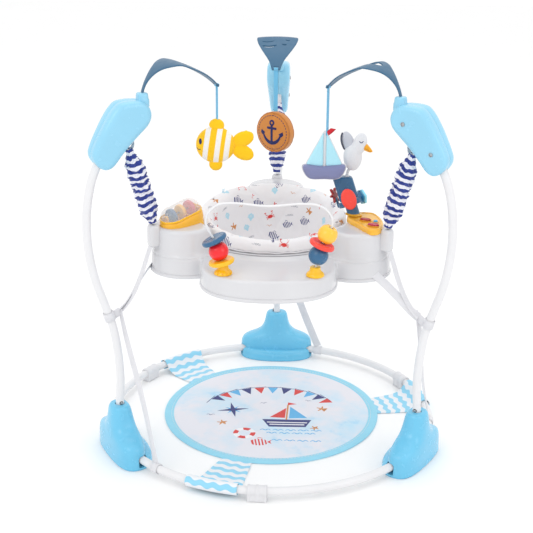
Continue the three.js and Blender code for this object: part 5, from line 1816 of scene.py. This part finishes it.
def add_paddle_wheel():
    hub = [(14.6, 22.6), (15.2, 22), (25.6, 22), (26.6, 22.6), (27, 23.6), (27, 32.4), (26.6, 33.4),
           (25.6, 34), (15.2, 34), (14.6, 33.4)]
    piece("wheel_hub", moved(lathe(hub, 56, closed=True), POST), MATERIALS["blue"], "paddle_wheel",
          ["paddle_wheel"])
    for azimuth in (-90, 30, 150):
        arm = slab(rounded_rectangle(9.6, 8, 2.4), 24, 33, 0.6)
        shape = combined(moved(arm, POST @ turned(azimuth) @ Matrix.Translation((0, 0, 28)) @ RADIAL),
                         moved(slab(rounded_rectangle(8, 24, 3), 30.6, 33.4, 0.8),
                               POST @ turned(azimuth) @ Matrix.Translation((0, 0, 36)) @ RADIAL))
        piece(f"wheel_arm_{azimuth % 360}", shape, MATERIALS["blue"], "paddle_wheel",
              ["paddle_wheel"])
    egg = [(x, y + 38) for x, y in superellipse(17, 17, 24, 2.0, 64)]
    piece("paddle_egg", paddle(egg, -90, 31.4, 38.4, 3.4), MATERIALS["coral"], "paddle_wheel",
          ["paddle_wheel"])
    hexagon = polygon_outline(19, 6, (0, 32))
    piece("paddle_hexagon_rim", paddle(hexagon, 30, 31, 37, 1.6), MATERIALS["cyan"], "paddle_wheel",
          ["paddle_wheel"])
    panel = polygon_outline(14.6, 6, (0, 32))
    piece("paddle_hexagon", paddle(panel, 30, 30.4, 37.8, 0.8), MATERIALS["sky"], "paddle_wheel",
          ["paddle_wheel"])
    star = star_outline(19, 9.5, 6, (0, 54))
    piece("paddle_star", paddle(star, 150, 31, 37, 1.8), MATERIALS["dark_red"], "paddle_wheel",
          ["paddle_wheel"])


add_post()
add_paddle_wheel()


# ---- Soft toys ----
def ball_shape(half_sizes, centre, tilt=0.0, sides=40, rows=20):
    """A stretched ball, tilted about y."""
    rings = []
    for i in range(rows + 1):
        angle = math.pi * i / rows
        ring = circle(max(math.sin(angle), 0.01), sides)
        height = -half_sizes[2] * math.cos(angle)
        rings.append([(x * half_sizes[0], y * half_sizes[1], height) for x, y in ring])
    tilted = Matrix.Translation(Vector(centre)) @ Matrix.Rotation(math.radians(tilt), 4, "Y")
    return moved(lofted(rings), tilted)


def pillow(outline, low, high, matrix, edge=5.0):
    return moved(slab(outline, low, high, edge, 5), matrix)


def upright_at(y):
    """An outline in x and z becomes a slab that stands across y."""
    return Matrix.Translation((0, y, 0)) @ Matrix.Rotation(math.radians(90), 4, "X")


def band_colour(shader, slanted, centres, half, base, stripe):
    """Printed bands at given places along a slanted coordinate."""
    total = None
    for centre in centres:
        away = shader.math("ABSOLUTE", shader.math("SUBTRACT", slanted, centre))
        inside = shader.stretch(away, half - 0.0004, half + 0.0004, 1.0, 0.0)
        total = inside if total is None else shader.math("MAXIMUM", total, inside)
    return shader.mix(total, base, stripe)


def soft_piece(name, shape, material, body, replaces, voxel=4.0, pressure=4.0, cap=4.0, frames=16):
    obj = add_object(name, shape, 0)
    inflate(obj, voxel, pressure, cap, frames)
    obj.data.shade_smooth()
    finish_piece(obj, material, body, replaces)
    return obj


TIP_BAR = Vector((141.4, 0, 846.4))
RIBBON_WIDTH = 10


def add_ribbon(name, azimuth, bottom, body):
    """A hoop round the bar at the arm's tip and a flat drop that is sewn into the toy."""
    turn = turned(azimuth)
    path = [turn @ Vector((TIP_BAR.x, 0, bottom + (TIP_BAR.z - 4.2 - bottom) * k / 24)) for k in range(25)]
    strap(f"{name}_ribbon", path, lambda share: turn @ Vector((1, 0, 0)), RIBBON_WIDTH, body, 1.4, False,
                 "ribbon")
    matrix = turn @ Matrix.Translation(TIP_BAR) @ Matrix.Rotation(math.radians(90), 4, "X")
    hoop = ring_band(f"{name}_ribbon_loop", matrix, 3.2, RIBBON_WIDTH, body, thickness=1.0)
    hoop.data.materials.clear()
    hoop.data.materials.append(MATERIALS["ribbon"])


FISH = Vector((-126, -71, 712))


def fish_material():
    shader = Shader("fish_plush", 0.95)
    x, _, z = shader.split(shader.place())
    across = shader.math("ADD", shader.math("SUBTRACT", x, FISH.x * MM), shader.math("MULTIPLY", shader.math(
        "SUBTRACT", z, FISH.z * MM), -0.14))
    fuzz = shader.noise(500.0, 4.0, roughness=0.7)
    yellow = shader.mix(fuzz, colour(236, 178, 8), colour(255, 208, 24))
    white = shader.mix(fuzz, colour(226, 222, 216), colour(246, 244, 240))
    shader.set("Base Color", band_colour(shader, across, (-0.020, 0.006, 0.027), 0.0058, yellow, white))
    plush_layers(shader)
    return shader.material


def add_fish():
    soft_piece("hanging_fish_body", ball_shape((45, 20, 42), FISH), fish_material(), "hanging_fish",
               ["hanging_fish"])
    fins = {"top_fin": ((18, 9, 15), (FISH.x + 3, FISH.y, 757), 8),
            "belly_fin": ((16, 9, 16), (FISH.x, FISH.y, 668), -6),
            "tail_upper": ((27, 8, 18), (FISH.x + 61, FISH.y, 726), -24),
            "tail_lower": ((27, 8, 18), (FISH.x + 61, FISH.y, 696), 24)}
    for label, (sizes, centre, tilt) in fins.items():
        soft_piece(f"fish_{label}", ball_shape(sizes, centre, tilt), MATERIALS["plush_yellow"],
                   "hanging_fish", (), 3.5, 3.0, 2.5, 12)
    add_ribbon("fish", 210, 764, "hanging_fish")


BOAT = Vector((118, -71, 0))


def add_boat():
    x, y = BOAT.x, BOAT.y
    hull = smooth_path([(x - 49, 669, 0), (x - 36, 641, 0), (x, 638.5, 0), (x + 35, 642, 0), (x + 47, 671, 0),
                        (x, 667.5, 0)], 72, closed=True)
    hull_outline = [(p.x, p.y) for p in hull]
    soft_piece("hanging_boat_hull", pillow(hull_outline, -13, 13, upright_at(y), 9), MATERIALS["plush_blue"],
               "hanging_boat", ["hanging_boat"])
    sails = {
        "left": [(x - 3, 746), (x - 12, 728), (x - 26, 702), (x - 42, 671), (x - 22, 668.5), (x - 3, 668)],
        "right": [(x + 3, 746), (x + 3, 700), (x + 3, 668), (x + 20, 669), (x + 40, 671), (x + 25, 702),
                  (x + 12, 728)],
    }
    for label, corners in sails.items():
        outline = resampled([(px, pz, 0) for px, pz in corners], 64, closed=True)
        flat = [(p.x, p.y) for p in outline]
        soft_piece(f"boat_sail_{label}", pillow(flat, -6.5, 6.5, upright_at(y), 5), MATERIALS["plush_sky"],
                   "hanging_boat", (), 3.0, 3.0, 2.5, 14)
        seam = [Vector((p.x, y, p.y)) for p in outline]
        piece(f"boat_piping_{label}", swept(seam, circle(1.5, 8), ups=[(0, 1, 0)] * 64, closed=True),
              MATERIALS["cloth_white"], "hanging_boat")
    mast = [Vector((x, y, 664 + 84 * k / 20)) for k in range(21)]
    piece("boat_mast", swept(mast, superellipse(2.6, 2.6, 3.4, 2.2, 20), ups=[(0, 1, 0)] * 21),
          MATERIALS["cloth_white"], "hanging_boat")
    flag_outline = resampled([(x + 3, 746, 0), (x + 7, 737, 0), (x + 15, 743, 0), (x + 24, 752, 0),
                              (x + 12, 754, 0)], 48, closed=True)
    flag = pillow([(p.x, p.y) for p in flag_outline], -1.6, 1.6, upright_at(y), 1.0)
    piece("boat_flag", flag, MATERIALS["felt_red"], "hanging_boat")
    rim = [Vector((p.x, y, p.y)) for p in hull]
    piece("boat_hull_piping", swept(rim, circle(1.6, 8), ups=[(0, 1, 0)] * 72, closed=True),
          MATERIALS["cloth_white"], "hanging_boat")
    add_ribbon("boat", 330, 738, "hanging_boat")


PAD = Vector((0, 141, 696))
PAD_RADIUS, PAD_HALF, PAD_AZIMUTH = 50.5, 14, 236


def anchor_shape(low, high):
    """A plain anchor: a ring, a shank with a stock, and a curved arm with two flukes."""
    ring = [Vector((x, y, 0)) for x, y in circle(5.2, 32, (0, 24))]
    flat = rounded_rectangle(4.4, high - low, 0.4)
    middle = (low + high) / 2
    parts = [moved(swept(ring, flat, ups=[(0, 0, 1)] * 32, closed=True), Matrix.Translation((0, 0, middle))),
             moved(slab(rounded_rectangle(6.2, 46, 1.5), low, high, 0.4), Matrix.Translation((0, -3, 0))),
             moved(slab(rounded_rectangle(28, 5.6, 2.0), low, high, 0.4), Matrix.Translation((0, 11, 0)))]
    sweep = [math.radians(-72 + 144 * k / 40) for k in range(41)]
    arm = [Vector((26 * math.sin(a), 4 - 29 * math.cos(a), middle)) for a in sweep]
    width = lambda share: rounded_rectangle(4.0 + 4.5 * math.sin(math.pi * share), high - low, 0.4)
    parts.append(swept(arm, width, ups=[(0, 0, 1)] * 41))
    for way in (-1, 1):
        fluke = [(way * 31, 1.0), (way * 20, -5.5), (way * 27, -12.5), (way * 33, -7)]
        if way < 0:
            fluke.reverse()
        points = [(p.x, p.y) for p in resampled([(px, py + 4, 0) for px, py in fluke], 32, closed=True)]
        area = sum(a[0] * b[1] - b[0] * a[1] for a, b in zip(points, points[1:] + points[:1]))
        parts.append(slab(points if area > 0 else points[::-1], low, high, 0.4))
    return combined(*parts)


def add_anchor_pad():
    facing = polar(1, PAD_AZIMUTH)
    face = Matrix.Translation(PAD) @ turned(PAD_AZIMUTH) @ Matrix.Rotation(math.radians(90), 4, "Y") @ \
        Matrix.Rotation(math.radians(90), 4, "Z")
    disc = slab(circle(PAD_RADIUS - 1.5, 72), -PAD_HALF + 2.5, PAD_HALF - 2.5, 4.5)
    soft_piece("hanging_anchor_pad_body", moved(disc, face), MATERIALS["plush_tan"], "hanging_anchor_pad",
               ["hanging_anchor_pad"], 4.0, 4.0, 4.5, 18)
    surface = surface_tree("hanging_anchor_pad_body")
    for label, way in (("front", 1), ("back", -1)):
        flip = face @ Matrix.Rotation(math.radians(0 if way > 0 else 180), 4, "Y")
        towards = (flip.to_3x3() @ Vector((0, 0, 1))).normalized()
        anchor = draped(moved(refined(anchor_shape(-0.8, 0.8)), flip), surface, towards, 60)
        piece(f"anchor_patch_{label}", anchor, MATERIALS["felt_navy"], "hanging_anchor_pad")
        dashes = []
        for k in range(36):
            turn = Matrix.Rotation(2 * math.pi * k / 36, 4, "Z")
            dash = slab(rounded_rectangle(1.6, 4.6, 0.7), -0.5, 0.5, 0.3, 1)
            dashes.append(moved(dash, flip @ turn @ Matrix.Translation((41, 0, 0))))
        piece(f"anchor_stitches_{label}", draped(combined(*dashes), surface, towards, 60),
              MATERIALS["felt_navy"], "hanging_anchor_pad")
        rim = []
        for x, y in circle(1, 96):
            outwards = (flip.to_3x3() @ Vector((x, y, 0))).normalized()
            start = flip @ Vector((x * 90, y * 90, PAD_HALF - 5.5))
            place, _, _, _ = surface.ray_cast(start * MM, -outwards, 90 * MM)
            rim.append(place / MM if place else flip @ Vector((x * 48, y * 48, PAD_HALF - 5.5)))
        piece(f"anchor_piping_{label}", swept(rim, circle(1.5, 8), ups=[facing] * 96, closed=True),
              MATERIALS["felt_tan"], "hanging_anchor_pad")
    add_ribbon("anchor_pad", 90, 742, "hanging_anchor_pad")


# ---- Raised patches laid on soft pieces ----
def surface_tree(name):
    graph = bpy.context.evaluated_depsgraph_get()
    return BVHTree.FromObject(bpy.data.objects[name], graph)


def refined(shape, longest=4.0):
    """The same shape with its long edges cut up, so that it can follow a curved surface."""
    points, faces = shape
    mesh = bmesh.new()
    vertices = [mesh.verts.new(p) for p in points]
    for face in faces:
        mesh.faces.new([vertices[k] for k in face])
    bmesh.ops.triangulate(mesh, faces=mesh.faces)
    for _ in range(4):
        long_edges = [edge for edge in mesh.edges if edge.calc_length() > longest]
        if not long_edges:
            break
        bmesh.ops.subdivide_edges(mesh, edges=long_edges, cuts=1)
        bmesh.ops.triangulate(mesh, faces=mesh.faces)
    mesh.verts.index_update()
    result = [v.co.copy() for v in mesh.verts], [tuple(v.index for v in face.verts) for face in mesh.faces]
    mesh.free()
    return result


def draped(shape, surface, towards, reach):
    """Moves a thin flat shape along its facing direction until its middle plane lies on the surface."""
    points, faces = shape
    middle = sum(points, Vector()) / len(points)
    result = []
    for point in points:
        level = (point - middle).dot(towards)
        start = (point + towards * reach) * MM
        place, _, _, _ = surface.ray_cast(start, -towards, 4 * reach * MM)
        if place is None:
            result.append(point)
        else:
            result.append(place / MM + towards * level)
    return result, faces


def add_fish_details():
    surface = surface_tree("hanging_fish_body")
    for label, way in (("front", -1), ("back", 1)):
        towards = Vector((0, way, 0))
        eye = slab(superellipse(3.4, 3.4, 6.6, 2.0, 32), -0.7, 0.7, 0.5, 2)
        standing = Matrix.Rotation(math.radians(90), 4, "X")
        at = Matrix.Translation((FISH.x - 33, FISH.y, FISH.z + 10)) @ standing
        piece(f"fish_eye_{label}", draped(moved(eye, at), surface, towards, 60), MATERIALS["felt_navy"],
              "hanging_fish")
        smile = [Vector((FISH.x - 42 + 9 * k / 16, FISH.y, FISH.z - 5 - 4 * math.sin(math.pi * k / 20)))
                 for k in range(17)]
        thread = swept(smile, circle(0.8, 8), ups=[(0, 1, 0)] * 17)
        piece(f"fish_mouth_{label}", draped(thread, surface, towards, 60), MATERIALS["felt_navy"],
              "hanging_fish")


def gull_material():
    shader = Shader("gull_plush", 0.95)
    fuzz = shader.noise(500.0, 4.0, roughness=0.7)
    shader.set("Base Color", shader.mix(fuzz, colour(214, 214, 218), colour(240, 240, 242)))
    plush_layers(shader)
    return shader.material


GULL = Vector((181, -38, 683))


def add_gull():
    """A plain soft bird on a bendy neck: a rounded body, a head with closed eyes and a folded wing."""
    middle, _ = joint_place("gull")
    x, y, z = GULL
    neck = smooth_path([middle, (171, -37, 644), (175, -38, 655), (178, -38, 662)], 24)
    ball = [(5.9 * math.sin(math.radians(t)), -5.9 * math.cos(math.radians(t))) for t in range(0, 181, 12)]
    piece("gull_neck", combined(swept(neck, circle(3.4, 16)),
                                moved(lathe(ball, 28), Matrix.Translation(middle))), MATERIALS["tray"],
          "gull", ["gull"])
    body = combined(ball_shape((22, 15, 34), (x + 1, y, z)),
                    ball_shape((17, 13, 28), (x + 15, y - 2, z + 28), 16))
    soft_piece("gull_body", body, gull_material(), "gull", ["gull"], 3.5, 4.0, 3.0, 16)
    soft_piece("gull_wing", ball_shape((14, 9, 27), (x - 10, y + 1, z + 32), -20), MATERIALS["plush_grey"],
               "gull", (), 3.5, 3.0, 2.0, 12)
    stripe = [Vector((x - 10, y + 1, z + 32)) + Vector((-14.6 * math.cos(a), -1.5, 26.5 * math.sin(a)))
              for a in (math.radians(-30 + 100 * k / 24) for k in range(25))]
    tilt = Matrix.Translation((x - 10, y + 1, z + 32)) @ Matrix.Rotation(math.radians(-20), 4, "Y") @ \
        Matrix.Translation((-(x - 10), -(y + 1), -(z + 32)))
    edge = swept([tilt @ p for p in stripe],
                 lambda s: superellipse(2.2, 2.2, 4.5 * math.sin(math.pi * s) + 0.8, 2, 14),
                 ups=[(0, 1, 0)] * 25)
    piece("gull_wing_edge", edge, MATERIALS["plush_dark"], "gull")
    beak_at = placed((x + 25, y - 3, z + 24), -8, -34)
    upper, lower = [], []
    for k in range(13):
        share = k / 12
        size = 9.4 * (1 - share) ** 0.5 + 0.25
        upper.append([])
        lower.append([])
        for a, b in circle(1, 28):
            upper[-1].append((1.5 + 22 * share, a * size, 0.3 + max(0.0, b) * size * 0.9))
            lower[-1].append((1.5 + 20 * share, a * size * 0.88, -0.9 + min(0.0, b) * size * 0.7))
    for label, rings in (("upper", upper), ("lower", lower)):
        shape = moved(lofted(rings), beak_at)
        piece(f"gull_beak_{label}", shape, MATERIALS["plush_beak"], "gull")
    mouth = [(2 + 17 * k / 8, 0, -0.3) for k in range(9)]
    lips = swept([Vector(p) for p in mouth], lambda s: superellipse(6.4 - 5 * s, 6.4 - 5 * s, 0.7, 2, 16))
    piece("gull_mouth", moved(lips, beak_at), MATERIALS["felt_navy"], "gull")
    surface = surface_tree("gull_body")
    for label, way in (("front", -1), ("back", 1)):
        lid = [Vector((x + 14 + 9 * k / 12, y, z + 38 - 3.4 * math.sin(math.pi * k / 12))) for k in range(13)]
        thread = swept(lid, circle(0.9, 8), ups=[(0, 1, 0)] * 13)
        piece(f"gull_eye_{label}", draped(thread, surface, Vector((0, way, 0)), 60), MATERIALS["felt_navy"],
              "gull")


MATERIALS["plush_yellow"] = plush("yellow_plush", colour(248, 196, 14))
MATERIALS["plush_blue"] = plush("lavender_plush", colour(128, 133, 172))
MATERIALS["plush_sky"] = plush("sky_plush", colour(176, 228, 242))
MATERIALS["plush_tan"] = plush("tan_plush", colour(204, 132, 62))
MATERIALS["plush_grey"] = plush("grey_plush", colour(200, 202, 210))
MATERIALS["plush_dark"] = plush("dark_plush", colour(78, 82, 98))
MATERIALS["plush_beak"] = plush("beak_plush", colour(244, 170, 40))
MATERIALS["felt_navy"] = plain_cloth("navy_felt", colour(26, 32, 92), 0.0006)
MATERIALS["felt_red"] = plain_cloth("red_felt", colour(206, 30, 44), 0.0006)
MATERIALS["felt_tan"] = plain_cloth("tan_piping", colour(182, 112, 48), 0.0006)
add_fish()
add_fish_details()
add_boat()
add_anchor_pad()
add_gull()


# ---- Printed motifs: thin inked shapes laid on the finished cloth ----
INK = 0.22


def inked(outline, centre=(0.0, 0.0), turn=0.0):
    """A flat outline as a very thin solid."""
    area = sum(a[0] * b[1] - b[0] * a[1] for a, b in zip(outline, outline[1:] + outline[:1]))
    points = [(x, y) for x, y in (outline if area > 0 else outline[::-1])]
    rings = [[(x, y, height) for x, y in points] for height in (-INK / 2, INK / 2)]
    return moved(lofted(rings), Matrix.Translation((centre[0], centre[1], 0)) @ turned(turn))


def bar(start, end, width):
    """A stroke with rounded ends."""
    a, b = Vector((start[0], start[1])), Vector((end[0], end[1]))
    length = (b - a).length
    outline = rounded_rectangle(length + width, width, width * 0.45, 3)
    middle = (a + b) / 2
    return inked(outline, (middle.x, middle.y), math.degrees(math.atan2(b.y - a.y, b.x - a.x)))


def curved_stroke(points, width):
    path = smooth_path([(x, y, 0) for x, y in points], 18)
    section = lambda share: rounded_rectangle(width
                                              * (0.35 + 0.65 * math.sin(math.pi * (0.1 + 0.8 * share))),
                                              INK, INK * 0.3, 1)
    return swept(path, section, ups=[(0, 0, 1)] * 18)


def striped_fish_print(size):
    """A fish made of upright bars that fill an oval, with a forked tail and a fin."""
    half_length, half_height = size * 0.5, size * 0.36
    parts = []
    for k in range(5):
        middle = -half_length * 0.72 + k * half_length * 0.36
        width = half_length * (0.17 if k else 0.24)
        outline = []
        for side in (1, -1):
            for step in range(9):
                x = middle + width * (step / 8 - 0.5) * side
                reach = half_height * math.sqrt(max(0.02, 1 - (x / half_length) ** 2))
                outline.append((x + side * half_height * 0.08, side * -reach))
        parts.append(inked(outline))
    tail = [(half_length * 0.86, 0), (half_length * 1.34, half_height * 0.6), (half_length * 1.2, 0),
            (half_length * 1.34, -half_height * 0.6)]
    parts.append(inked(tail))
    parts.append(curved_stroke([(-half_length * 0.2, half_height * 1.1), (0, half_height * 1.4),
                                (half_length * 0.4, half_height * 1.15)], size * 0.05))
    return combined(*parts)


def crab_print(size):
    body = [(x, y * 0.9) for x, y in circle(size * 0.26, 28)]
    parts = [inked([(x, y * 0.78) for x, y in body])]
    for way in (-1, 1):
        for k in range(3):
            lift = size * (0.10 - 0.13 * k)
            parts.append(bar((way * size * 0.24, lift * 0.6), (way * size * 0.43, lift - size * 0.05),
                             size * 0.045))
        parts.append(curved_stroke([(way * size * 0.16, size * 0.16), (way * size * 0.32, size * 0.26),
                                    (way * size * 0.36, size * 0.4)], size * 0.06))
        for lean in (-0.07, 0.07):
            tip = (way * size * (0.36 + lean), size * 0.52)
            parts.append(bar((way * size * 0.36, size * 0.42), tip, size * 0.07))
    return combined(*parts)


def starfish_print(size):
    outline = []
    for k in range(60):
        angle = 2 * math.pi * k / 60
        wave = 0.5 + 0.5 * math.cos(angle * 5)
        radius = size * (0.13 + 0.37 * wave ** 2.2)
        outline.append((radius * math.cos(angle), radius * math.sin(angle)))
    return inked(outline)


def coral_print(size):
    """A branching clump."""
    parts = []
    for angle, length in ((90, 0.55), (62, 0.46), (118, 0.46), (38, 0.34), (142, 0.34)):
        tip = (size * length * math.cos(math.radians(angle)), size * length * math.sin(math.radians(angle)))
        parts.append(bar((0, -size * 0.2), tip, size * 0.1))
        for lean in (-34, 34):
            root = (tip[0] * 0.62, tip[1] * 0.62)
            twig = math.radians(angle + lean)
            parts.append(bar(root, (root[0] + size * 0.17 * math.cos(twig),
                                    root[1] + size * 0.17 * math.sin(twig)), size * 0.07))
    return combined(*parts)


def wave_print(size):
    parts = []
    for row, (shift, length) in enumerate(((0.0, 1.0), (0.12, 0.7))):
        points = [(size * (shift + length * (k / 6 - 0.5)), size * (0.12 * row + 0.035 * (-1) ** k))
                  for k in range(7)]
        parts.append(curved_stroke(points, size * 0.055))
    return combined(*parts)


def sprig_print(size):
    return combined(bar((0, 0), (size * 0.3, size * 0.12), size * 0.09),
                    bar((0, 0), (size * 0.1, size * 0.3), size * 0.09),
                    bar((-size * 0.1, -size * 0.12), (size * 0.04, -size * 0.3), size * 0.07))


def bird_print(size):
    return curved_stroke([(-size * 0.4, size * 0.1), (-size * 0.2, size * 0.2), (0, 0),
                          (size * 0.22, size * 0.2), (size * 0.4, size * 0.12)], size * 0.07)


SEAT_MOTIFS = ((striped_fish_print, "navy", 24), (wave_print, "grey", 21), (crab_print, "red", 24),
               (coral_print, "sky", 24), (starfish_print, "tan", 21), (wave_print, "grey", 20),
               (sprig_print, "red", 19), (striped_fish_print, "navy", 22), (bird_print, "tan", 17),
               (coral_print, "sky", 22), (sprig_print, "red", 16),)
PRINT_TONES = {"navy": (44, 52, 118), "red": (214, 58, 54), "tan": (206, 138, 78), "sky": (176, 218, 234),
               "grey": (158, 160, 170), "ocean": (92, 176, 226), "white": (240, 240, 243)}


def ink_material(name):
    """Ink on woven cloth: the threads still show through it, and it is a little uneven."""
    tone = colour(*PRINT_TONES[name])
    shader = Shader(f"{name}_ink", 0.8)
    x, y, z = shader.split(shader.place())
    rate = math.pi / 0.0011
    warp = shader.math("SINE", shader.math("MULTIPLY", shader.math("ADD", x, y), rate))
    weft = shader.math("SINE",
                       shader.math("MULTIPLY", shader.math("ADD", z, shader.math("SUBTRACT", x, y)), rate))
    cloud = shader.noise(220.0, 3.0)
    shader.set("Base Color", shader.mix(cloud, shade(tone, 0.9), shade(tone, 1.06)))
    shader.bump(shader.math("MULTIPLY", warp, weft), 0.2, 0.0002)
    shader.set("Sheen Weight", 0.2)
    return shader.material


def laid_on(shape, surface, place, towards, upwards, spin, lift=0.0):
    """Turns a flat motif to face outwards at a place and drapes it on the surface, or a lift above it."""
    across = Vector(upwards).cross(towards).normalized()
    upwards = Vector(towards).cross(across).normalized()
    basis = Matrix((across, upwards, towards)).transposed().to_4x4()
    matrix = Matrix.Translation(place) @ basis @ turned(spin)
    laid = draped(moved(refined(shape), matrix), surface, Vector(towards), 26)
    return moved(laid, Matrix.Translation(Vector(towards) * lift))


def add_seat_prints():
    surface = surface_tree("seat_pad")
    chance = random.Random(7)
    by_tone = {}
    rows = ((12, 17, 5), (36, 22, 14), (66, 21, 3), (94, 19, 16), (121, 18, 8), (148, 17, 12), (175, 15, 2),
            (202, 13, 9))
    number = 0
    for travel, count, start in rows:
        for k in range(count):
            azimuth = start + 360 * k / count + chance.uniform(-3, 3)
            motif, tone, size = SEAT_MOTIFS[number % len(SEAT_MOTIFS)]
            number += 1
            line = smooth_path(seat_profile(math.radians(azimuth)), 64)
            reached, index = 0.0, 1
            target = travel + chance.uniform(-4, 4)
            while reached < target and index < 62:
                reached += (line[index] - line[index - 1]).length
                index += 1
            along = (line[index + 1] - line[index - 1]).normalized()
            turn = turned(azimuth)
            facing = turn @ Vector((along.z, 0, -along.x))
            place = turn @ line[index]
            upwards = Vector((0, 0, 1)) if abs(facing.z) < 0.9 else turn @ Vector((-1, 0, 0))
            shape = laid_on(motif(size), surface, place, facing, upwards, chance.uniform(-24, 24))
            by_tone.setdefault(tone, []).append(shape)
    for tone, shapes in by_tone.items():
        piece(f"seat_print_{tone}", combined(*shapes), MATERIALS[f"ink_{tone}"], "seat", (),
              60)


def life_ring(radius):
    """Four painted arcs of a life ring."""
    red, white = [], []
    for k in range(8):
        outline = []
        start, end = 45 * k, 45 * (k + 1)
        for side, reach in ((1, radius), (-1, radius * 0.56)):
            for step in range(9):
                angle = math.radians(start + (end - start) * (step / 8 if side > 0 else 1 - step / 8))
                outline.append((reach * math.cos(angle), reach * math.sin(angle)))
        (red if k % 2 else white).append(inked(outline))
    return combined(*red), combined(*white)


def compass_star(radius):
    long_points, short_points = [], []
    for k in range(4):
        tip = polar(radius, 90 * k)
        left, right = polar(radius * 0.2, 90 * k + 45), polar(radius * 0.2, 90 * k - 45)
        long_points.append(inked([(0.001, 0), (right.x, right.y), (tip.x, tip.y), (left.x, left.y)]))
        tip = polar(radius * 0.6, 90 * k + 45)
        left, right = polar(radius * 0.16, 90 * k + 80), polar(radius * 0.16, 90 * k + 10)
        short_points.append(inked([(0.001, 0), (right.x, right.y), (tip.x, tip.y), (left.x, left.y)]))
    return combined(*long_points), combined(*short_points)


def pennant(width, drop):
    return inked([(-width / 2, 0), (0, -drop), (width / 2, 0)])


def add_mat_prints():
    """Bunting, a compass star, a life ring, a small boat on waves, and starfish, all plain seaside shapes."""
    surface = surface_tree("play_mat_pad")
    placed_shapes = []

    def lay(shape, tone, x, y, spin=0.0, lift=0.0):
        placed_shapes.append((shape, tone, x, y, spin, lift))

    for k in range(11):
        angle = math.radians(150 - 12 * k)
        tone = ("navy", "red", "ocean")[k % 3]
        lay(pennant(27, 34), tone, 172 * math.cos(angle), 12 + 132 * math.sin(angle) + 14, 60 - 12 * k)
    for k in range(10):
        angle = math.radians(156 - 13.2 * k)
        lay(bar((-21, 0), (21, 0), 2), "navy", 172 * math.cos(angle), 26 + 134 * math.sin(angle),
            66 - 13.2 * k)
    long_points, short_points = compass_star(40)
    lay(long_points, "navy", -96, 26, 12, INK)
    lay(short_points, "ocean", -96, 26, 12)
    red, white = life_ring(27)
    lay(red, "red", -60, -96, 10)
    lay(white, "white", -60, -96, 10)
    hull = [(x, y) for x, y in ((-62, 12), (60, 14), (46, -24), (-44, -26))]
    lay(inked(hull), "navy", 42, -34)
    for step in (-4, -15):
        lay(bar((-50 + abs(step) * 0.6, step), (50 - abs(step) * 0.6, step + 1), 4.2), "white", 42, -33,
            0.0, INK)
    lay(bar((0, 14), (2, 92), 4), "tan", 40, -34, 0.0, INK)
    lay(inked([(6, 20), (8, 84), (52, 24)]), "ocean", 40, -34)
    lay(inked([(-4, 22), (-2, 76), (-42, 24)]), "red", 40, -34)
    lay(inked([(1, 92), (2, 108), (24, 99)]), "red", 40, -34)
    for row, (x, y, count) in enumerate(((-10, -78, 5), (6, -96, 4), (20, -134, 4))):
        for k in range(count):
            lay(curved_stroke([(-13, 0), (-7, 5), (0, 0), (7, 5), (13, 0)], 3.4), "ocean", x + 31 * k,
                y + 2 * row)
    for x, y, size, spin in ((128, 42, 30, 10), (-118, -44, 28, 30), (110, -62, 24, 50)):
        lay(starfish_print(size), "tan", x, y, spin)
    for x, y, size, spin in ((-150, -6, 26, 0), (-20, 66, 22, 12), (92, 84, 20, -14)):
        lay(bird_print(size), "navy", x, y, spin)
    lay(striped_fish_print(44), "red", -22, -140, 4)
    by_tone = {}
    for shape, tone, x, y, spin, lift in placed_shapes:
        laid = laid_on(shape, surface, Vector((x, y, 12)), Vector((0, 0, 1)), Vector((0, 1, 0)), spin, lift)
        by_tone.setdefault(tone, []).append(laid)
    for tone, shapes in by_tone.items():
        piece(f"mat_print_{tone}", combined(*shapes), MATERIALS[f"ink_{tone}"], "frame", (), 60)


for tone_name in PRINT_TONES:
    MATERIALS[f"ink_{tone_name}"] = ink_material(tone_name)
add_seat_prints()
add_mat_prints()
